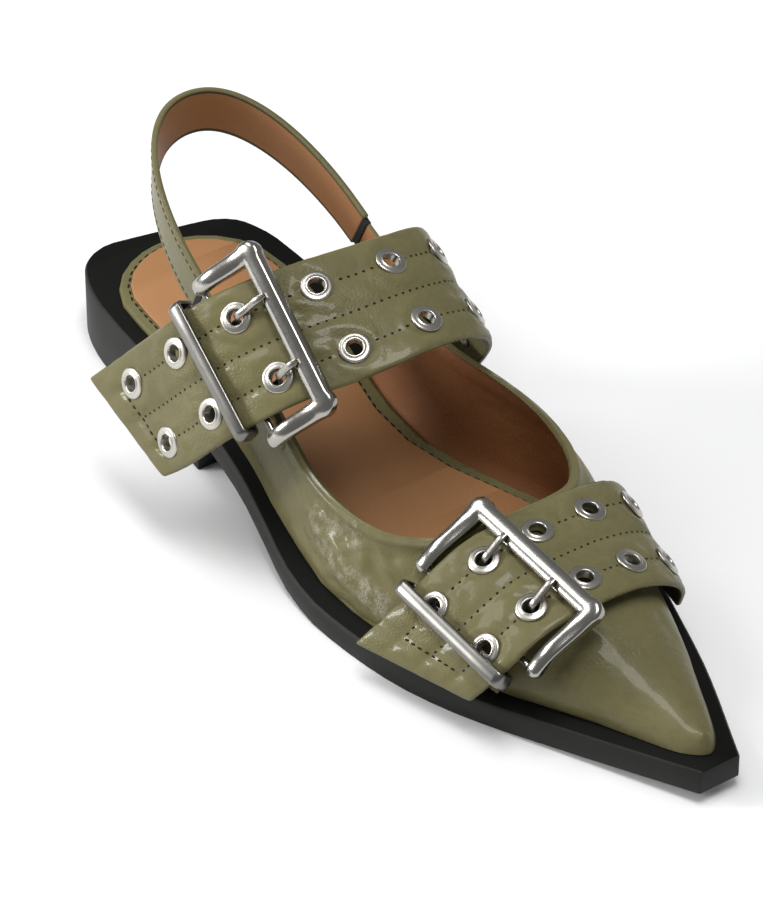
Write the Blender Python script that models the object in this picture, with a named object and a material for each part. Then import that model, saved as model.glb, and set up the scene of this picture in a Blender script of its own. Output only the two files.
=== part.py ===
import math
from collections import namedtuple

import bmesh
import bpy
import numpy as np
from mathutils import Matrix, Vector
from mathutils.bvhtree import BVHTree

# Right shoe. Sizes are in millimetres: x runs from heel to toe, y to the inner side, z up.
MM = 0.001
HEEL_CENTRE = 40.0
GAP = 0.3
SMOOTH_ANGLE = 40.0

# Sole and insole
SOLE_THICKNESS = 8.0
SOLE_CHAMFER = 0.8
BREAST = 80.0
BREAST_SLOPE = 1.2
INSOLE_THICKNESS = 2.2
INSOLE_INSET = 8.2
SEAT_INSET_LATERAL = 5.6
SOCK_THICKNESS = 0.9
SOCK_INSET = 3.6
SEAT_CENTRE = 29.5
SEAT_MIDDLE = -3.7
SEAT_RADIUS = 26.4

# Upper
UPPER_WALL = 1.6
FEATHER_GAP = 0.4
RIM = 5.0
UPPER_BACK = 88.0
TOE_TIP = 277.8
NOSE = 9.0
UPPER_RIBS = 24
UPPER_CELLS = 9
RIB_SWEEP = 4.0
RIB_CROWDING = 1.4

# Straps, eyelets and buckles
STRAP_WIDTH = 40.0
STRAP_THICKNESS = 2.0
ROW_OFFSET = 11.0
EYELET_RADIUS = 4.7
EYELET_HOLE = 2.7
EYELET_BARREL = 3.2
EYELET_RISE = 1.0
EYELET_SEAT = 0.4
BAR_RADIUS = 1.0
PRONG_RADIUS = 0.85
PRONG_REACH = 3.0
FRAME_WIDTH = 50.5
FRAME_CORNER = 6.0
FRAME_STEP = 2.0
HINGE_GAP = 0.7
FRAME_LENGTH = 22.5
KEEPER_WIDTH = 47.0
KEEPER_THICKNESS = 1.6
CHAPE_WIDTH = 34.0
CHAPE_THICKNESS = 1.0
PRONG_SLOT = 2.6
SLOT_LEAD = 3.0
SETTLE_REACH = 5.0

# Heel band
SLING_BACK = 21.4
SLING_FRONT = 78.3
SLING_LATERAL = -34.0
SLING_MEDIAL = 25.6
SLING_POWER = 0.9
SLING_TOP_BACK = 91.8
SLING_TOP_FRONT = 64.0
SLING_WIDTH = 15.0
SLING_THICKNESS = 2.0
TAB_WIDTH = 12.0
TAB_THICKNESS = 1.2

SoleRow = namedtuple("SoleRow", "x lateral medial top")
SOLE = [
    SoleRow(-8.3, -17.5, -12.5, 21.5),
    SoleRow(-7, -21.8, -6.0, 21.5),
    SoleRow(-5, -24.8, 3.5, 21.5),
    SoleRow(-3, -26.8, 13.0, 21.5),
    SoleRow(-1, -28.2, 20.0, 21.5),
    SoleRow(3, -30.2, 25.4, 21.5),
    SoleRow(9, -32.4, 28.4, 21.5),
    SoleRow(18, -34.4, 30.4, 21.5),
    SoleRow(40, -36.4, 31.0, 21.5),
    SoleRow(60, -37.6, 29.3, 21.5),
    SoleRow(80, -39.4, 23.5, 21.2),
    SoleRow(105, -42.2, 17.8, 18.0),
    SoleRow(125, -46.4, 19.8, 13.8),
    SoleRow(144, -50.5, 29.3, 10.0),
    SoleRow(157, -51.3, 35.3, 8.3),
    SoleRow(170, -50.4, 39.6, 8.0),
    SoleRow(184, -48.6, 41.5, 8.0),
    SoleRow(195, -46.2, 40.6, 8.0),
    SoleRow(206, -42.6, 37.6, 8.0),
    SoleRow(220, -37.0, 32.8, 8.4),
    SoleRow(244, -25.2, 24.2, 9.4),
    SoleRow(282, -6.8, 6.8, 12.0),
]

# Sections of the upper from the feather edge over the ridge, lateral (l) and medial (m).
LAST_COLUMNS = "x ridge_y ridge_z rise shoulder_l shoulder_m flare_l flare_m"
LastRow = namedtuple("LastRow", LAST_COLUMNS)
LAST = [
    LastRow(88, -4, 84, 0.62, 0.70, 0.95, -1.0, 14.0),
    LastRow(100, -4, 80, 0.62, 0.70, 0.95, -1.5, 15.0),
    LastRow(115, -4, 75, 0.64, 0.70, 0.95, -2.5, 15.0),
    LastRow(130, -4, 69, 0.66, 0.70, 0.92, -3.5, 14.0),
    LastRow(145, -4, 61, 0.68, 0.66, 0.96, -3.5, 12.5),
    LastRow(160, -4, 53, 0.70, 0.62, 0.90, -2.5, 9.0),
    LastRow(172, -4, 47, 0.70, 0.58, 0.82, -1.5, 6.0),
    LastRow(187, -4, 41.0, 0.60, 0.28, 0.70, -0.5, 2.0),
    LastRow(200, -4, 38.0, 0.52, 0.23, 0.72, 0.0, 1.5),
    LastRow(211, -3.5, 36.6, 0.50, 0.27, 0.70, 0.5, 1.5),
    LastRow(225, -3, 34.0, 0.56, 0.40, 0.62, 1.0, 1.5),
    LastRow(245, -1.5, 27.5, 0.60, 0.52, 0.55, 1.0, 1.0),
    LastRow(262, 0, 21, 0.60, 0.52, 0.52, 0.6, 0.6),
    LastRow(277.8, 0, 16, 0.60, 0.50, 0.50, 0.0, 0.0),
]

# Ribs of the upper from toe to back: station of the foot on the sole, station of the top on the collar,
# and the share of the girth that the collar reaches on each side.
RibRow = namedtuple("RibRow", "x foot top share_l share_m")
RIBS = [
    RibRow(0, 277.8, 188.5, 1.00, 1.00),
    RibRow(1, 268, 188.4, 0.935, 0.92),
    RibRow(2, 256, 188.0, 0.865, 0.85),
    RibRow(3, 243, 187.0, 0.785, 0.78),
    RibRow(4, 229, 185.5, 0.695, 0.71),
    RibRow(5, 214, 182.5, 0.60, 0.64),
    RibRow(6, 199, 177.5, 0.515, 0.58),
    RibRow(7, 184, 170.0, 0.44, 0.54),
    RibRow(8, 170, 161.0, 0.385, 0.50),
    RibRow(9, 156, 151.0, 0.343, 0.47),
    RibRow(10, 142, 140.0, 0.313, 0.445),
    RibRow(11, 128, 127.0, 0.298, 0.425),
    RibRow(12, 114, 114.0, 0.30, 0.40),
    RibRow(13, 101, 101.0, 0.31, 0.38),
    RibRow(14, 88, 88.0, 0.33, 0.36),
]

# Middle line of each strap's outer face; yaw and pitch turn the line across it away from x.
StrapRow = namedtuple("StrapRow", "x y z yaw pitch")
VAMP_STRAP = [
    StrapRow(203.5, -49.0, 13.5, 17.0, 0.0),
    StrapRow(210.0, -38.8, 27.8, 6.0, 3.0),
    StrapRow(211.1, -22.8, 38.0, 1.0, 6.0),
    StrapRow(211.6, -4.4, 40.6, 1.5, 6.5),
    StrapRow(210.3, 13.7, 38.4, -3.5, 8.5),
    StrapRow(208.0, 31.0, 30.5, -8.5, 14.0),
    StrapRow(200.5, 37.5, 10.5, -10.0, 0.0),
]
INSTEP_STRAP = [
    StrapRow(84.3, -67.6, 32.5, 0.0, 16.0),
    StrapRow(93.0, -64.0, 42.0, -3.0, 22.0),
    StrapRow(108.2, -58.6, 60.0, -4.0, 23.0),
    StrapRow(121.0, -44.5, 75.0, 3.0, 25.0),
    StrapRow(129.5, -22.4, 81.7, -2.0, 25.0),
    StrapRow(131.4, 1.9, 82.4, -6.0, 18.0),
    StrapRow(125.5, 22.0, 73.0, -2.0, 25.0),
    StrapRow(112.0, 28.5, 53.0, 0.0, 30.0),
    StrapRow(98.0, 29.0, 35.0, 0.0, 25.0),
    StrapRow(87.0, 28.6, 21.5, 0.0, 1.0),
]
VAMP_CHAPE = [
    StrapRow(207.5, -37.6, 13.0, 12.0, 0.0),
    StrapRow(208.8, -36.5, 20.0, 9.0, 1.0),
    StrapRow(210.0, -32.5, 26.5, 5.0, 3.0),
]
INSTEP_CHAPE = [
    StrapRow(105.5, -37.6, 25.0, -6.0, 0.0),
    StrapRow(106.0, -37.2, 35.0, -5.0, 4.0),
    StrapRow(107.5, -39.4, 46.0, -3.0, 10.0),
    StrapRow(111.5, -44.0, 57.0, -1.0, 18.0),
]

# Eyelets along a strap, the one the prongs go through, and where hinge and keeper lie behind it.
Fitting = namedtuple("Fitting", "name margin pitch count pin hinge keeper rows cells")
VAMP_FITTING = Fitting("vamp", 20.5, 18.5, 5, 1, 10.0, 20.0, 22, 4)
INSTEP_FITTING = Fitting("instep", 13.4, 24.0, 8, 2, 11.0, 18.5, 34, 4)

Surface = namedtuple("Surface", "colour roughness metallic")
SURFACES = {
    "olive_leather": Surface((0.135, 0.125, 0.042), 0.32, 0.0),
    "tan_leather": Surface((0.56, 0.36, 0.20), 0.55, 0.0),
    "black_rubber": Surface((0.012, 0.012, 0.013), 0.42, 0.0),
    "polished_metal": Surface((0.72, 0.72, 0.73), 0.16, 1.0),
}


def monotone(xs, ys):
    """Smooth curve through the rows of a table that never overshoots them."""
    steps = [b - a for a, b in zip(xs, xs[1:])]
    slopes = [(b - a) / h for a, b, h in zip(ys, ys[1:], steps)]
    tangents = [slopes[0]]
    for left, right in zip(slopes, slopes[1:]):
        tangents.append(2 * left * right / (left + right) if left * right > 0 else 0.0)
    tangents.append(slopes[-1])

    def value(x):
        x = min(max(x, xs[0]), xs[-1])
        i = next((k for k, end in enumerate(xs[1:]) if x <= end), len(steps) - 1)
        h = steps[i]
        t = (x - xs[i]) / h
        s = 1 - t
        return (
            ys[i] * (1 + 2 * t) * s * s
            + tangents[i] * h * t * s * s
            + ys[i + 1] * (3 - 2 * t) * t * t
            - tangents[i + 1] * h * s * t * t
        )

    return value


def columns(rows):
    xs = [row.x for row in rows]
    return {name: monotone(xs, [getattr(row, name) for row in rows]) for name in rows[0]._fields[1:]}


def natural(knots, values):
    """Cubic spline through points, straight at both ends."""
    knots = np.array(knots)
    values = np.array(values)
    h = np.diff(knots)
    slope = np.diff(values, axis=0) / h[:, None]
    matrix = np.eye(len(knots))
    right = np.zeros_like(values)
    for i in range(1, len(knots) - 1):
        matrix[i, i - 1 : i + 2] = h[i - 1], 2 * (h[i - 1] + h[i]), h[i]
        right[i] = 6 * (slope[i] - slope[i - 1])
    bend = np.linalg.solve(matrix, right)

    def value(k):
        i = int(np.clip(np.searchsorted(knots, k) - 1, 0, len(h) - 1))
        a = knots[i + 1] - k
        b = k - knots[i]
        return (
            (bend[i] * a**3 + bend[i + 1] * b**3) / (6 * h[i])
            + (values[i] / h[i] - bend[i] * h[i] / 6) * a
            + (values[i + 1] / h[i] - bend[i + 1] * h[i] / 6) * b
        )

    return value


def material(name):
    made = bpy.data.materials.get(name)
    if made:
        return made
    made = bpy.data.materials.new(name)
    made.use_nodes = True
    shader = made.node_tree.nodes["Principled BSDF"]
    surface = SURFACES[name]
    shader.inputs["Base Color"].default_value = (*surface.colour, 1.0)
    shader.inputs["Roughness"].default_value = surface.roughness
    shader.inputs["Metallic"].default_value = surface.metallic
    made.diffuse_color = (*surface.colour, 1.0)
    return made


def to_object(name, bm, surface, smooth=True):
    """Moves the millimetre mesh into the model frame and adds it to the scene."""
    bm.transform(Matrix.Scale(MM, 4) @ Matrix.Translation((-HEEL_CENTRE, 0.0, 0.0)))
    mesh = bpy.data.meshes.new(name)
    bm.to_mesh(mesh)
    bm.free()
    mesh.materials.append(material(surface))
    if smooth:
        mesh.shade_smooth()
        mesh.set_sharp_from_angle(angle=math.radians(SMOOTH_ANGLE))
    obj = bpy.data.objects.new(name, mesh)
    bpy.context.scene.collection.objects.link(obj)
    return obj


def thicken(obj, thickness):
    solid = obj.modifiers.new("wall", "SOLIDIFY")
    solid.thickness = thickness * MM
    solid.offset = -1.0
    solid.use_even_offset = True
    solid.use_quality_normals = True


def cut(obj, cutter):
    cutter.hide_render = True
    cutter.display_type = "WIRE"
    hole = obj.modifiers.new("holes", "BOOLEAN")
    hole.operation = "DIFFERENCE"
    hole.solver = "EXACT"
    hole.object = cutter


def loft(bm, rings, closed_run=False):
    """Skins closed rings of points; open runs get flat caps."""
    made = [[bm.verts.new(p) for p in ring] for ring in rings]
    count = len(made[0])
    pairs = list(zip(made, made[1:]))
    if closed_run:
        pairs.append((made[-1], made[0]))
    for first, second in pairs:
        for k in range(count):
            n = (k + 1) % count
            bm.faces.new((first[k], first[n], second[n], second[k]))
    if not closed_run:
        bm.faces.new(list(reversed(made[0])))
        bm.faces.new(made[-1])
    bmesh.ops.recalc_face_normals(bm, faces=bm.faces)


def sheet(bm, grid, skip=()):
    """Quads between the rows of a grid of points; skip names the cells left out."""
    made = [[bm.verts.new(p) for p in row] for row in grid]
    for i in range(len(made) - 1):
        for j in range(len(made[0]) - 1):
            if (i, j) not in skip:
                bm.faces.new((made[i][j], made[i][j + 1], made[i + 1][j + 1], made[i + 1][j]))
    loose = [v for v in bm.verts if not v.link_faces]
    bmesh.ops.delete(bm, geom=loose, context="VERTS")
    return made


def aim(bm, point, direction):
    """Turns all faces so that the one nearest to the point looks in the direction."""
    face = min(bm.faces, key=lambda f: (f.calc_center_median() - point).length)
    face.normal_update()
    if face.normal.dot(direction) < 0:
        bmesh.ops.reverse_faces(bm, faces=bm.faces)


def span(start, end, count):
    return [start + (end - start) * k / count for k in range(count + 1)]


sole = columns(SOLE)
last = columns(LAST)
ribs = columns(RIBS)


def sole_edge(x, side):
    return sole["medial"](x) if side > 0 else sole["lateral"](x)


def sole_top(x):
    return sole["top"](x)


def sole_bottom(x):
    return 0.0 if x < BREAST else max(0.0, sole_top(x) - SOLE_THICKNESS)


def slab(stations, edge, low, high, chamfer):
    """Rings of a sole-shaped slab whose top edges are chamfered."""
    rings = []
    for x in stations:
        outer, inner = edge(x, -1), edge(x, 1)
        ease = min(chamfer, (inner - outer) * 0.3)
        bottom, top = low(x), high(x)
        rings.append(
            [
                (x, outer, bottom),
                (x, outer, top - ease),
                (x, outer + ease, top),
                (x, inner - ease, top),
                (x, inner, top - ease),
                (x, inner, bottom),
            ]
        )
    return rings


def make_outsole():
    heel = [row.x for row in SOLE if row.x < BREAST]
    halfway = [(a + b) / 2 for a, b in zip(heel, heel[1:])]
    breast = [BREAST - BREAST_SLOPE, BREAST + 0.01]
    stations = sorted(heel + halfway) + breast + span(UPPER_BACK, SOLE[-1].x - 8, 24) + [SOLE[-1].x]
    bm = bmesh.new()
    loft(bm, slab(stations, sole_edge, sole_bottom, sole_top, SOLE_CHAMFER))
    to_object("outsole", bm, "black_rubber")


def seat_edge(inset):
    """Outline inside the sole's, round at the heel and the toe, and the stations to draw it at."""
    tip = TOE_TIP - UPPER_WALL - 3.0 - inset
    radius = SEAT_RADIUS - inset
    heel_inset = monotone([55, UPPER_BACK - 8], [SEAT_INSET_LATERAL, INSOLE_INSET])

    def edge(x, side):
        rim = INSOLE_INSET if side > 0 else heel_inset(x)
        y = sole_edge(max(x, SEAT_CENTRE), side) - side * (rim + inset)
        if x < SEAT_CENTRE:
            close = math.sqrt(max(0.0, 1 - ((SEAT_CENTRE - x) / radius) ** 2))
            y = SEAT_MIDDLE + (y - SEAT_MIDDLE) * max(close, 0.03)
        if x > tip - NOSE:
            y *= max(0.04, math.sqrt(max(0.0, 1 - ((x - tip + NOSE) / NOSE) ** 2)))
        return y

    turns = [math.radians(a) for a in (90, 84, 74, 62, 48, 32, 15)]
    back = [SEAT_CENTRE - radius * math.sin(a) for a in turns]
    front = [tip - NOSE + NOSE * math.sin(math.radians(a)) for a in (0, 20, 40, 58, 74, 90)]
    return edge, back + span(SEAT_CENTRE + 4, tip - NOSE - 8, 15) + front


def make_bed(name, inset, height, thickness, chamfer, surface):
    """A sheet on the sole: its underside lies height above the sole's top."""

    def low(x):
        return sole_top(x) + height

    def high(x):
        return low(x) + thickness

    edge, stations = seat_edge(inset)
    bm = bmesh.new()
    loft(bm, slab(stations, edge, low, high, chamfer))
    to_object(name, bm, surface)


def make_insole():
    make_bed("insole", 0.0, GAP, INSOLE_THICKNESS, 0.7, "olive_leather")
    make_bed("sock", SOCK_INSET, 2 * GAP + INSOLE_THICKNESS, SOCK_THICKNESS, 0.4, "tan_leather")


def feather(x, side):
    """Half breadth of the upper where it meets the sole, closing in a rounded nose."""
    half = abs(sole_edge(x, side)) - RIM
    if x > TOE_TIP - NOSE:
        half *= math.sqrt(max(0.0, 1 - ((x - TOE_TIP + NOSE) / NOSE) ** 2))
    return side * half


def upper_point(x, side, share):
    """Outer face of the upper: share runs from 0 at the feather edge to 1 at the ridge."""
    hand = "m" if side > 0 else "l"
    foot_y, foot_z = feather(x, side), sole_top(x) + FEATHER_GAP
    ridge_y, ridge_z = last["ridge_y"](x), last["ridge_z"](x)
    rise = foot_z + last["rise"](x) * (ridge_z - foot_z)
    belly = foot_y + side * last["flare_" + hand](x)
    brow = ridge_y + last["shoulder_" + hand](x) * (foot_y - ridge_y)
    a, b, c, d = (1 - share) ** 3, 3 * share * (1 - share) ** 2, 3 * share**2 * (1 - share), share**3
    return Vector(
        (
            x,
            a * foot_y + b * belly + c * brow + d * ridge_y,
            a * foot_z + b * rise + c * ridge_z + d * ridge_z,
        )
    )


def upper_rib(number, side, rise):
    """Point on a rib: rise runs from 0 at the feather edge to 1 at the collar."""
    foot, top = ribs["foot"](number), ribs["top"](number)
    reach = ribs["share_m" if side > 0 else "share_l"](number)
    fan = 1 + RIB_SWEEP * max(0.0, 1 - number / 8.0)
    share = reach * (1 - (1 - rise) ** fan)
    if number == 0 and rise > 0:
        share = 1.0
    return upper_point(foot + (top - foot) * rise ** (1 + (fan - 1) / 5), side, share)


def upper_sheet():
    """Both halves as one sheet that share the rib along the ridge."""
    bm = bmesh.new()
    last_rib = RIBS[-1].x
    for side in (-1, 1):
        numbers = [last_rib * (k / UPPER_RIBS) ** RIB_CROWDING for k in range(UPPER_RIBS + 1)]
        rises = [k / UPPER_CELLS for k in range(UPPER_CELLS + 1)]
        rows = [[upper_rib(number, side, rise) for rise in rises] for number in numbers]
        sheet(bm, rows if side < 0 else [row[::-1] for row in rows])
    bmesh.ops.remove_doubles(bm, verts=bm.verts, dist=0.02)
    bmesh.ops.recalc_face_normals(bm, faces=bm.faces)
    aim(bm, upper_point(RIBS[5].foot, 1, 1.0), Vector((0.0, 0.0, 1.0)))
    return bm


def make_upper(bm):
    """Gives the sheet its wall: the inner face keeps level with the outer along the feather edge."""
    bm.normal_update()
    rims = [edge.link_loops[0] for edge in bm.edges if edge.is_boundary]
    faces = [list(face.verts) for face in bm.faces]
    inner = {}
    for vert in list(bm.verts):
        inward = -vert.normal
        if vert.co.z < sole_top(vert.co.x) + 2 * GAP:
            inward.z = 0.0
        inner[vert] = bm.verts.new(vert.co + inward.normalized() * UPPER_WALL)
    pairs = [(loop.vert, loop.link_loop_next.vert) for loop in rims]
    for face in faces:
        bm.faces.new([inner[vert] for vert in reversed(face)])
    for first, second in pairs:
        bm.faces.new((second, first, inner[first], inner[second]))
    to_object("upper", bm, "olive_leather")


class Ribbon:
    """A band: run goes along its middle line from lateral to medial, across goes from rear to front."""

    def __init__(self, rows):
        points = [np.array((row.x, row.y, row.z), float) for row in rows]
        runs = [0.0]
        for a, b in zip(points, points[1:]):
            runs.append(runs[-1] + float(np.linalg.norm(b - a)))
        self.centre = natural(runs, points)
        self.turn = natural(runs, [(row.yaw, row.pitch) for row in rows])
        self.length = runs[-1]

    def frame(self, run):
        """Point on the outer face with the directions along, across and out."""
        point = Vector(self.centre(run))
        along = Vector(self.centre(run + 0.5) - self.centre(run - 0.5)).normalized()
        yaw, pitch = (math.radians(v) for v in self.turn(run))
        across = Vector(
            (math.cos(yaw) * math.cos(pitch), math.sin(yaw) * math.cos(pitch), -math.sin(pitch))
        )
        return point, along, across, across.cross(along).normalized()

    def point(self, run, across):
        point, _, side, _ = self.frame(run)
        return point + side * across


def settle(point, under, depth):
    """Lifts a point that is nearer to the surface under it than depth."""
    for _ in range(3):
        near, normal, _, distance = under.find_nearest(point)
        height = (point - near).dot(normal)
        if distance < SETTLE_REACH and height < depth:
            point = point + normal * (depth - height)
    return point


class Settled(Ribbon):
    """A band that rests on the surface under it."""

    def __init__(self, rows, under, depth):
        super().__init__(rows)
        self.under = under
        self.depth = depth

    def point(self, run, across):
        return settle(super().point(run, across), self.under, self.depth)


def strap_grid(ribbon, rows, cells):
    across = span(-STRAP_WIDTH / 2, STRAP_WIDTH / 2, cells)
    return [[ribbon.point(run, u) for u in across] for run in span(0.0, ribbon.length, rows)]


def make_strap(name, ribbon, rows, cells, spots):
    """A wide strap with a round hole at each spot."""
    bm = bmesh.new()
    sheet(bm, strap_grid(ribbon, rows, cells))
    middle, _, _, out = ribbon.frame(ribbon.length / 2)
    aim(bm, middle, out)
    strap = to_object(name, bm, "olive_leather", smooth=False)
    thicken(strap, STRAP_THICKNESS)
    bm = bmesh.new()
    for run, across in spots:
        place = eyelet_frame(ribbon, run, across)
        bmesh.ops.create_cone(
            bm,
            cap_ends=True,
            segments=12,
            radius1=EYELET_BARREL + GAP + 0.1,
            radius2=EYELET_BARREL + GAP + 0.1,
            depth=4 * STRAP_THICKNESS,
            matrix=place,
        )
    cut(strap, to_object(name + "_holes", bm, "olive_leather"))


def eyelet_frame(ribbon, run, across):
    """Matrix at a hole: z stands out of the strap's outer face."""
    point = ribbon.point(run, across)
    along = (ribbon.point(run + 1.5, across) - ribbon.point(run - 1.5, across)).normalized()
    side = ribbon.point(run, across + 1.5) - ribbon.point(run, across - 1.5)
    out = side.cross(along).normalized()
    side = along.cross(out)
    frame = Matrix((side, along, out)).transposed().to_4x4()
    frame.translation = point
    return frame


def make_eyelet(name, ribbon, run, across):
    place = eyelet_frame(ribbon, run, across)
    seat = EYELET_SEAT
    profile = [
        (EYELET_HOLE, -STRAP_THICKNESS),
        (EYELET_BARREL, -STRAP_THICKNESS),
        (EYELET_BARREL, seat),
        (EYELET_RADIUS, seat),
        ((EYELET_HOLE + EYELET_RADIUS) / 2 + 0.5, seat + EYELET_RISE * 0.8),
        (EYELET_HOLE, seat + EYELET_RISE * 0.6),
    ]
    count = 10
    rings = []
    for k in range(count):
        turn = 2 * math.pi * k / count
        rings.append([place @ Vector((r * math.cos(turn), r * math.sin(turn), h)) for r, h in profile])
    bm = bmesh.new()
    loft(bm, rings, closed_run=True)
    to_object(name, bm, "polished_metal")


def sweep(path, ups, sizes, sides, closed_run):
    """Rings of an oval section along a path; ups points out of the flat of the oval."""
    rings = []
    count = len(path)
    for k, point in enumerate(path):
        before = path[k - 1] if closed_run or k else point
        after = path[(k + 1) % count] if closed_run or k < count - 1 else point
        along = (after - before).normalized()
        up = (ups[k] - along * ups[k].dot(along)).normalized()
        side = along.cross(up)
        wide, high = sizes[k]
        ring = []
        for n in range(sides):
            turn = 2 * math.pi * (n + 0.5) / sides
            ring.append(point + side * (wide * math.cos(turn)) + up * (high * math.sin(turn)))
        rings.append(ring)
    return rings


def make_swept(name, path, ups, sizes, sides, closed_run):
    bm = bmesh.new()
    loft(bm, sweep(path, ups, sizes, sides, closed_run), closed_run)
    to_object(name, bm, "polished_metal")


class Buckle:
    """Rigid frame whose hinge bar lies under the strap and whose far bar lies over it."""

    def __init__(self, ribbon, pin, back):
        self.ribbon = ribbon
        self.pin = pin
        hinge = pin - back
        point, _, self.across, out = ribbon.frame(hinge)
        self.hinge = point - out * (STRAP_THICKNESS + HINGE_GAP + BAR_RADIUS)
        far, _, _, far_out = ribbon.frame(hinge + FRAME_LENGTH)
        bar = far + far_out * 4.2
        along = bar - self.hinge
        drift = along.dot(self.across)
        self.hinge += self.across * (drift / 2)
        along = along - self.across * drift
        self.reach = along.length
        self.along = along.normalized()
        self.out = self.across.cross(self.along)

    def place(self, along, across, out=0.0):
        return self.hinge + self.along * along + self.across * across + self.out * out

    def local(self, point):
        offset = point - self.hinge
        return offset.dot(self.along), offset.dot(self.across), offset.dot(self.out)

    def make_frame(self, name):
        """Closed loop whose legs drop to the hinge bar beside the strap."""
        half = FRAME_WIDTH / 2
        corner = FRAME_CORNER
        side = [
            (0.0, half - 3.9, 0.0),
            (0.2, half - 2.1, 0.5),
            (1.2, half - 0.6, FRAME_STEP * 0.8),
            (3.2, half, FRAME_STEP),
            (self.reach * 0.4, half, FRAME_STEP * 0.7),
            (self.reach * 0.6, half, FRAME_STEP * 0.3),
        ]
        for turn in (0, 22, 45, 68, 90):
            a = math.radians(turn)
            along = self.reach - corner + corner * math.sin(a)
            side.append((along, half - corner + corner * math.cos(a), 0.0))
        other = [(a, -c, h) for a, c, h in reversed(side)]
        path = [(0.0, 0.0, 0.0)] + side + [(self.reach, 0.0, 0.0)] + other
        wide = monotone([0, 2.5, 8, self.reach], [BAR_RADIUS, 2.0, 2.5, 3.0])
        high = monotone([0, 2.5, 8, self.reach], [BAR_RADIUS, 1.7, 1.9, 2.1])
        make_swept(
            name,
            [self.place(*point) for point in path],
            [self.out] * len(path),
            [(wide(a), high(a)) for a, _, _ in path],
            8,
            True,
        )

    def make_prong(self, name, across):
        eye = eyelet_frame(self.ribbon, self.pin, across)
        a_in, c_in, h_in = self.local(eye @ Vector((0.0, 0.0, -STRAP_THICKNESS - 1.6)))
        a_out, c_out, h_out = self.local(eye @ Vector((0.0, 0.0, 2.4)))
        curl = BAR_RADIUS + GAP + PRONG_RADIUS
        points = []
        for turn in (190, 215, 240, 265):
            a = math.radians(turn)
            points.append((curl * math.cos(a), c_in, curl * math.sin(a)))
        points.append((a_in * 0.55, c_in, min(-curl * 0.9, h_in - 0.6)))
        points += [(a_in, c_in, h_in), (a_out, c_out, h_out)]
        over = 2.1 + GAP + PRONG_RADIUS
        points += [(self.reach - 4.5, c_out, max(over, h_out) + 0.4), (self.reach, c_out, over + 0.3)]
        points.append((self.reach + PRONG_REACH, c_out, over - 0.3))
        knots = [0.0]
        for p, q in zip(points, points[1:]):
            knots.append(knots[-1] + math.dist(p, q))
        curve = natural(knots, [np.array(p) for p in points])
        stops = knots[:4] + span(knots[3], knots[-1], 9)[1:]
        path = [self.place(*map(float, curve(k))) for k in stops]
        sizes = [(PRONG_RADIUS * 1.15, PRONG_RADIUS)] * len(path)
        make_swept(name, path, [self.out] * len(path), sizes, 6, False)

    def make_keeper(self, name, run):
        """Flat loop round the strap's tail."""
        _, along, across, out = self.ribbon.frame(run)
        centre = self.ribbon.point(run, 0.0) - out * (STRAP_THICKNESS / 2)
        half = KEEPER_WIDTH / 2 - 1.1
        top = EYELET_SEAT + EYELET_RISE + 2 * GAP + KEEPER_THICKNESS / 2
        low = GAP + 0.1 + KEEPER_THICKNESS / 2
        rise = (top + low + STRAP_THICKNESS) / 2
        centre += out * ((top - low) / 2)
        bend = 2.0
        flat = []
        for turn in (0, 30, 60, 90):
            a = math.radians(turn)
            flat.append((half - bend + bend * math.cos(a), rise - bend + bend * math.sin(a)))
        ring = flat + [(-c, h) for c, h in reversed(flat)]
        ring += [(-c, -h) for c, h in ring]
        path = [centre + across * c + out * h for c, h in ring]
        ups = []
        for c, h in ring:
            lean = (abs(c) - (half - bend)) * (1 if c > 0 else -1)
            sink = (abs(h) - (rise - bend)) * (1 if h > 0 else -1)
            ups.append((across * lean + out * sink).normalized())
        make_swept(name, path, ups, [(2.2, KEEPER_THICKNESS / 2)] * len(path), 6, True)

    def make_chape(self, name, rows, under):
        """Short strap from the upper to the hinge bar, hooked under it between the prongs."""
        radius = BAR_RADIUS + GAP + 0.1 + CHAPE_THICKNESS
        hook = []
        for turn in (200, 230, 260, 290, 320, 350):
            a = math.radians(turn)
            hook.append((radius * math.cos(a), radius * math.sin(a)))
        half = CHAPE_WIDTH / 2
        marks = [-half]
        for across in (-ROW_OFFSET, ROW_OFFSET):
            slot = self.local(self.ribbon.point(self.pin, across))[1]
            marks += [slot - PRONG_SLOT, slot + PRONG_SLOT]
        marks.append(half)
        band = Settled(rows, under, CHAPE_THICKNESS + GAP + 0.1)
        grid = [[band.point(run, u) for u in marks] for run in span(0.0, band.length, 4)]
        curl = [[self.place(a, u, h) for u in marks] for a, h in hook]
        reach = (curl[0][0] - grid[-1][0]).length
        links = max(1, round(reach / SLOT_LEAD))
        end = grid[-1]
        for k in range(1, links):
            grid.append([a.lerp(b, k / links) for a, b in zip(end, curl[0])])
        slot_start = max(i for i, row in enumerate(grid) if (curl[0][0] - row[0]).length > SLOT_LEAD * 0.8)
        grid += curl
        skip = {(i, j) for i in range(slot_start, len(grid) - 1) for j in (1, 3)}
        bm = bmesh.new()
        sheet(bm, grid, skip)
        aim(bm, grid[0][0], Vector((0.0, -1.0, 0.0)))
        thicken(to_object(name, bm, "olive_leather", smooth=False), CHAPE_THICKNESS)


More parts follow.
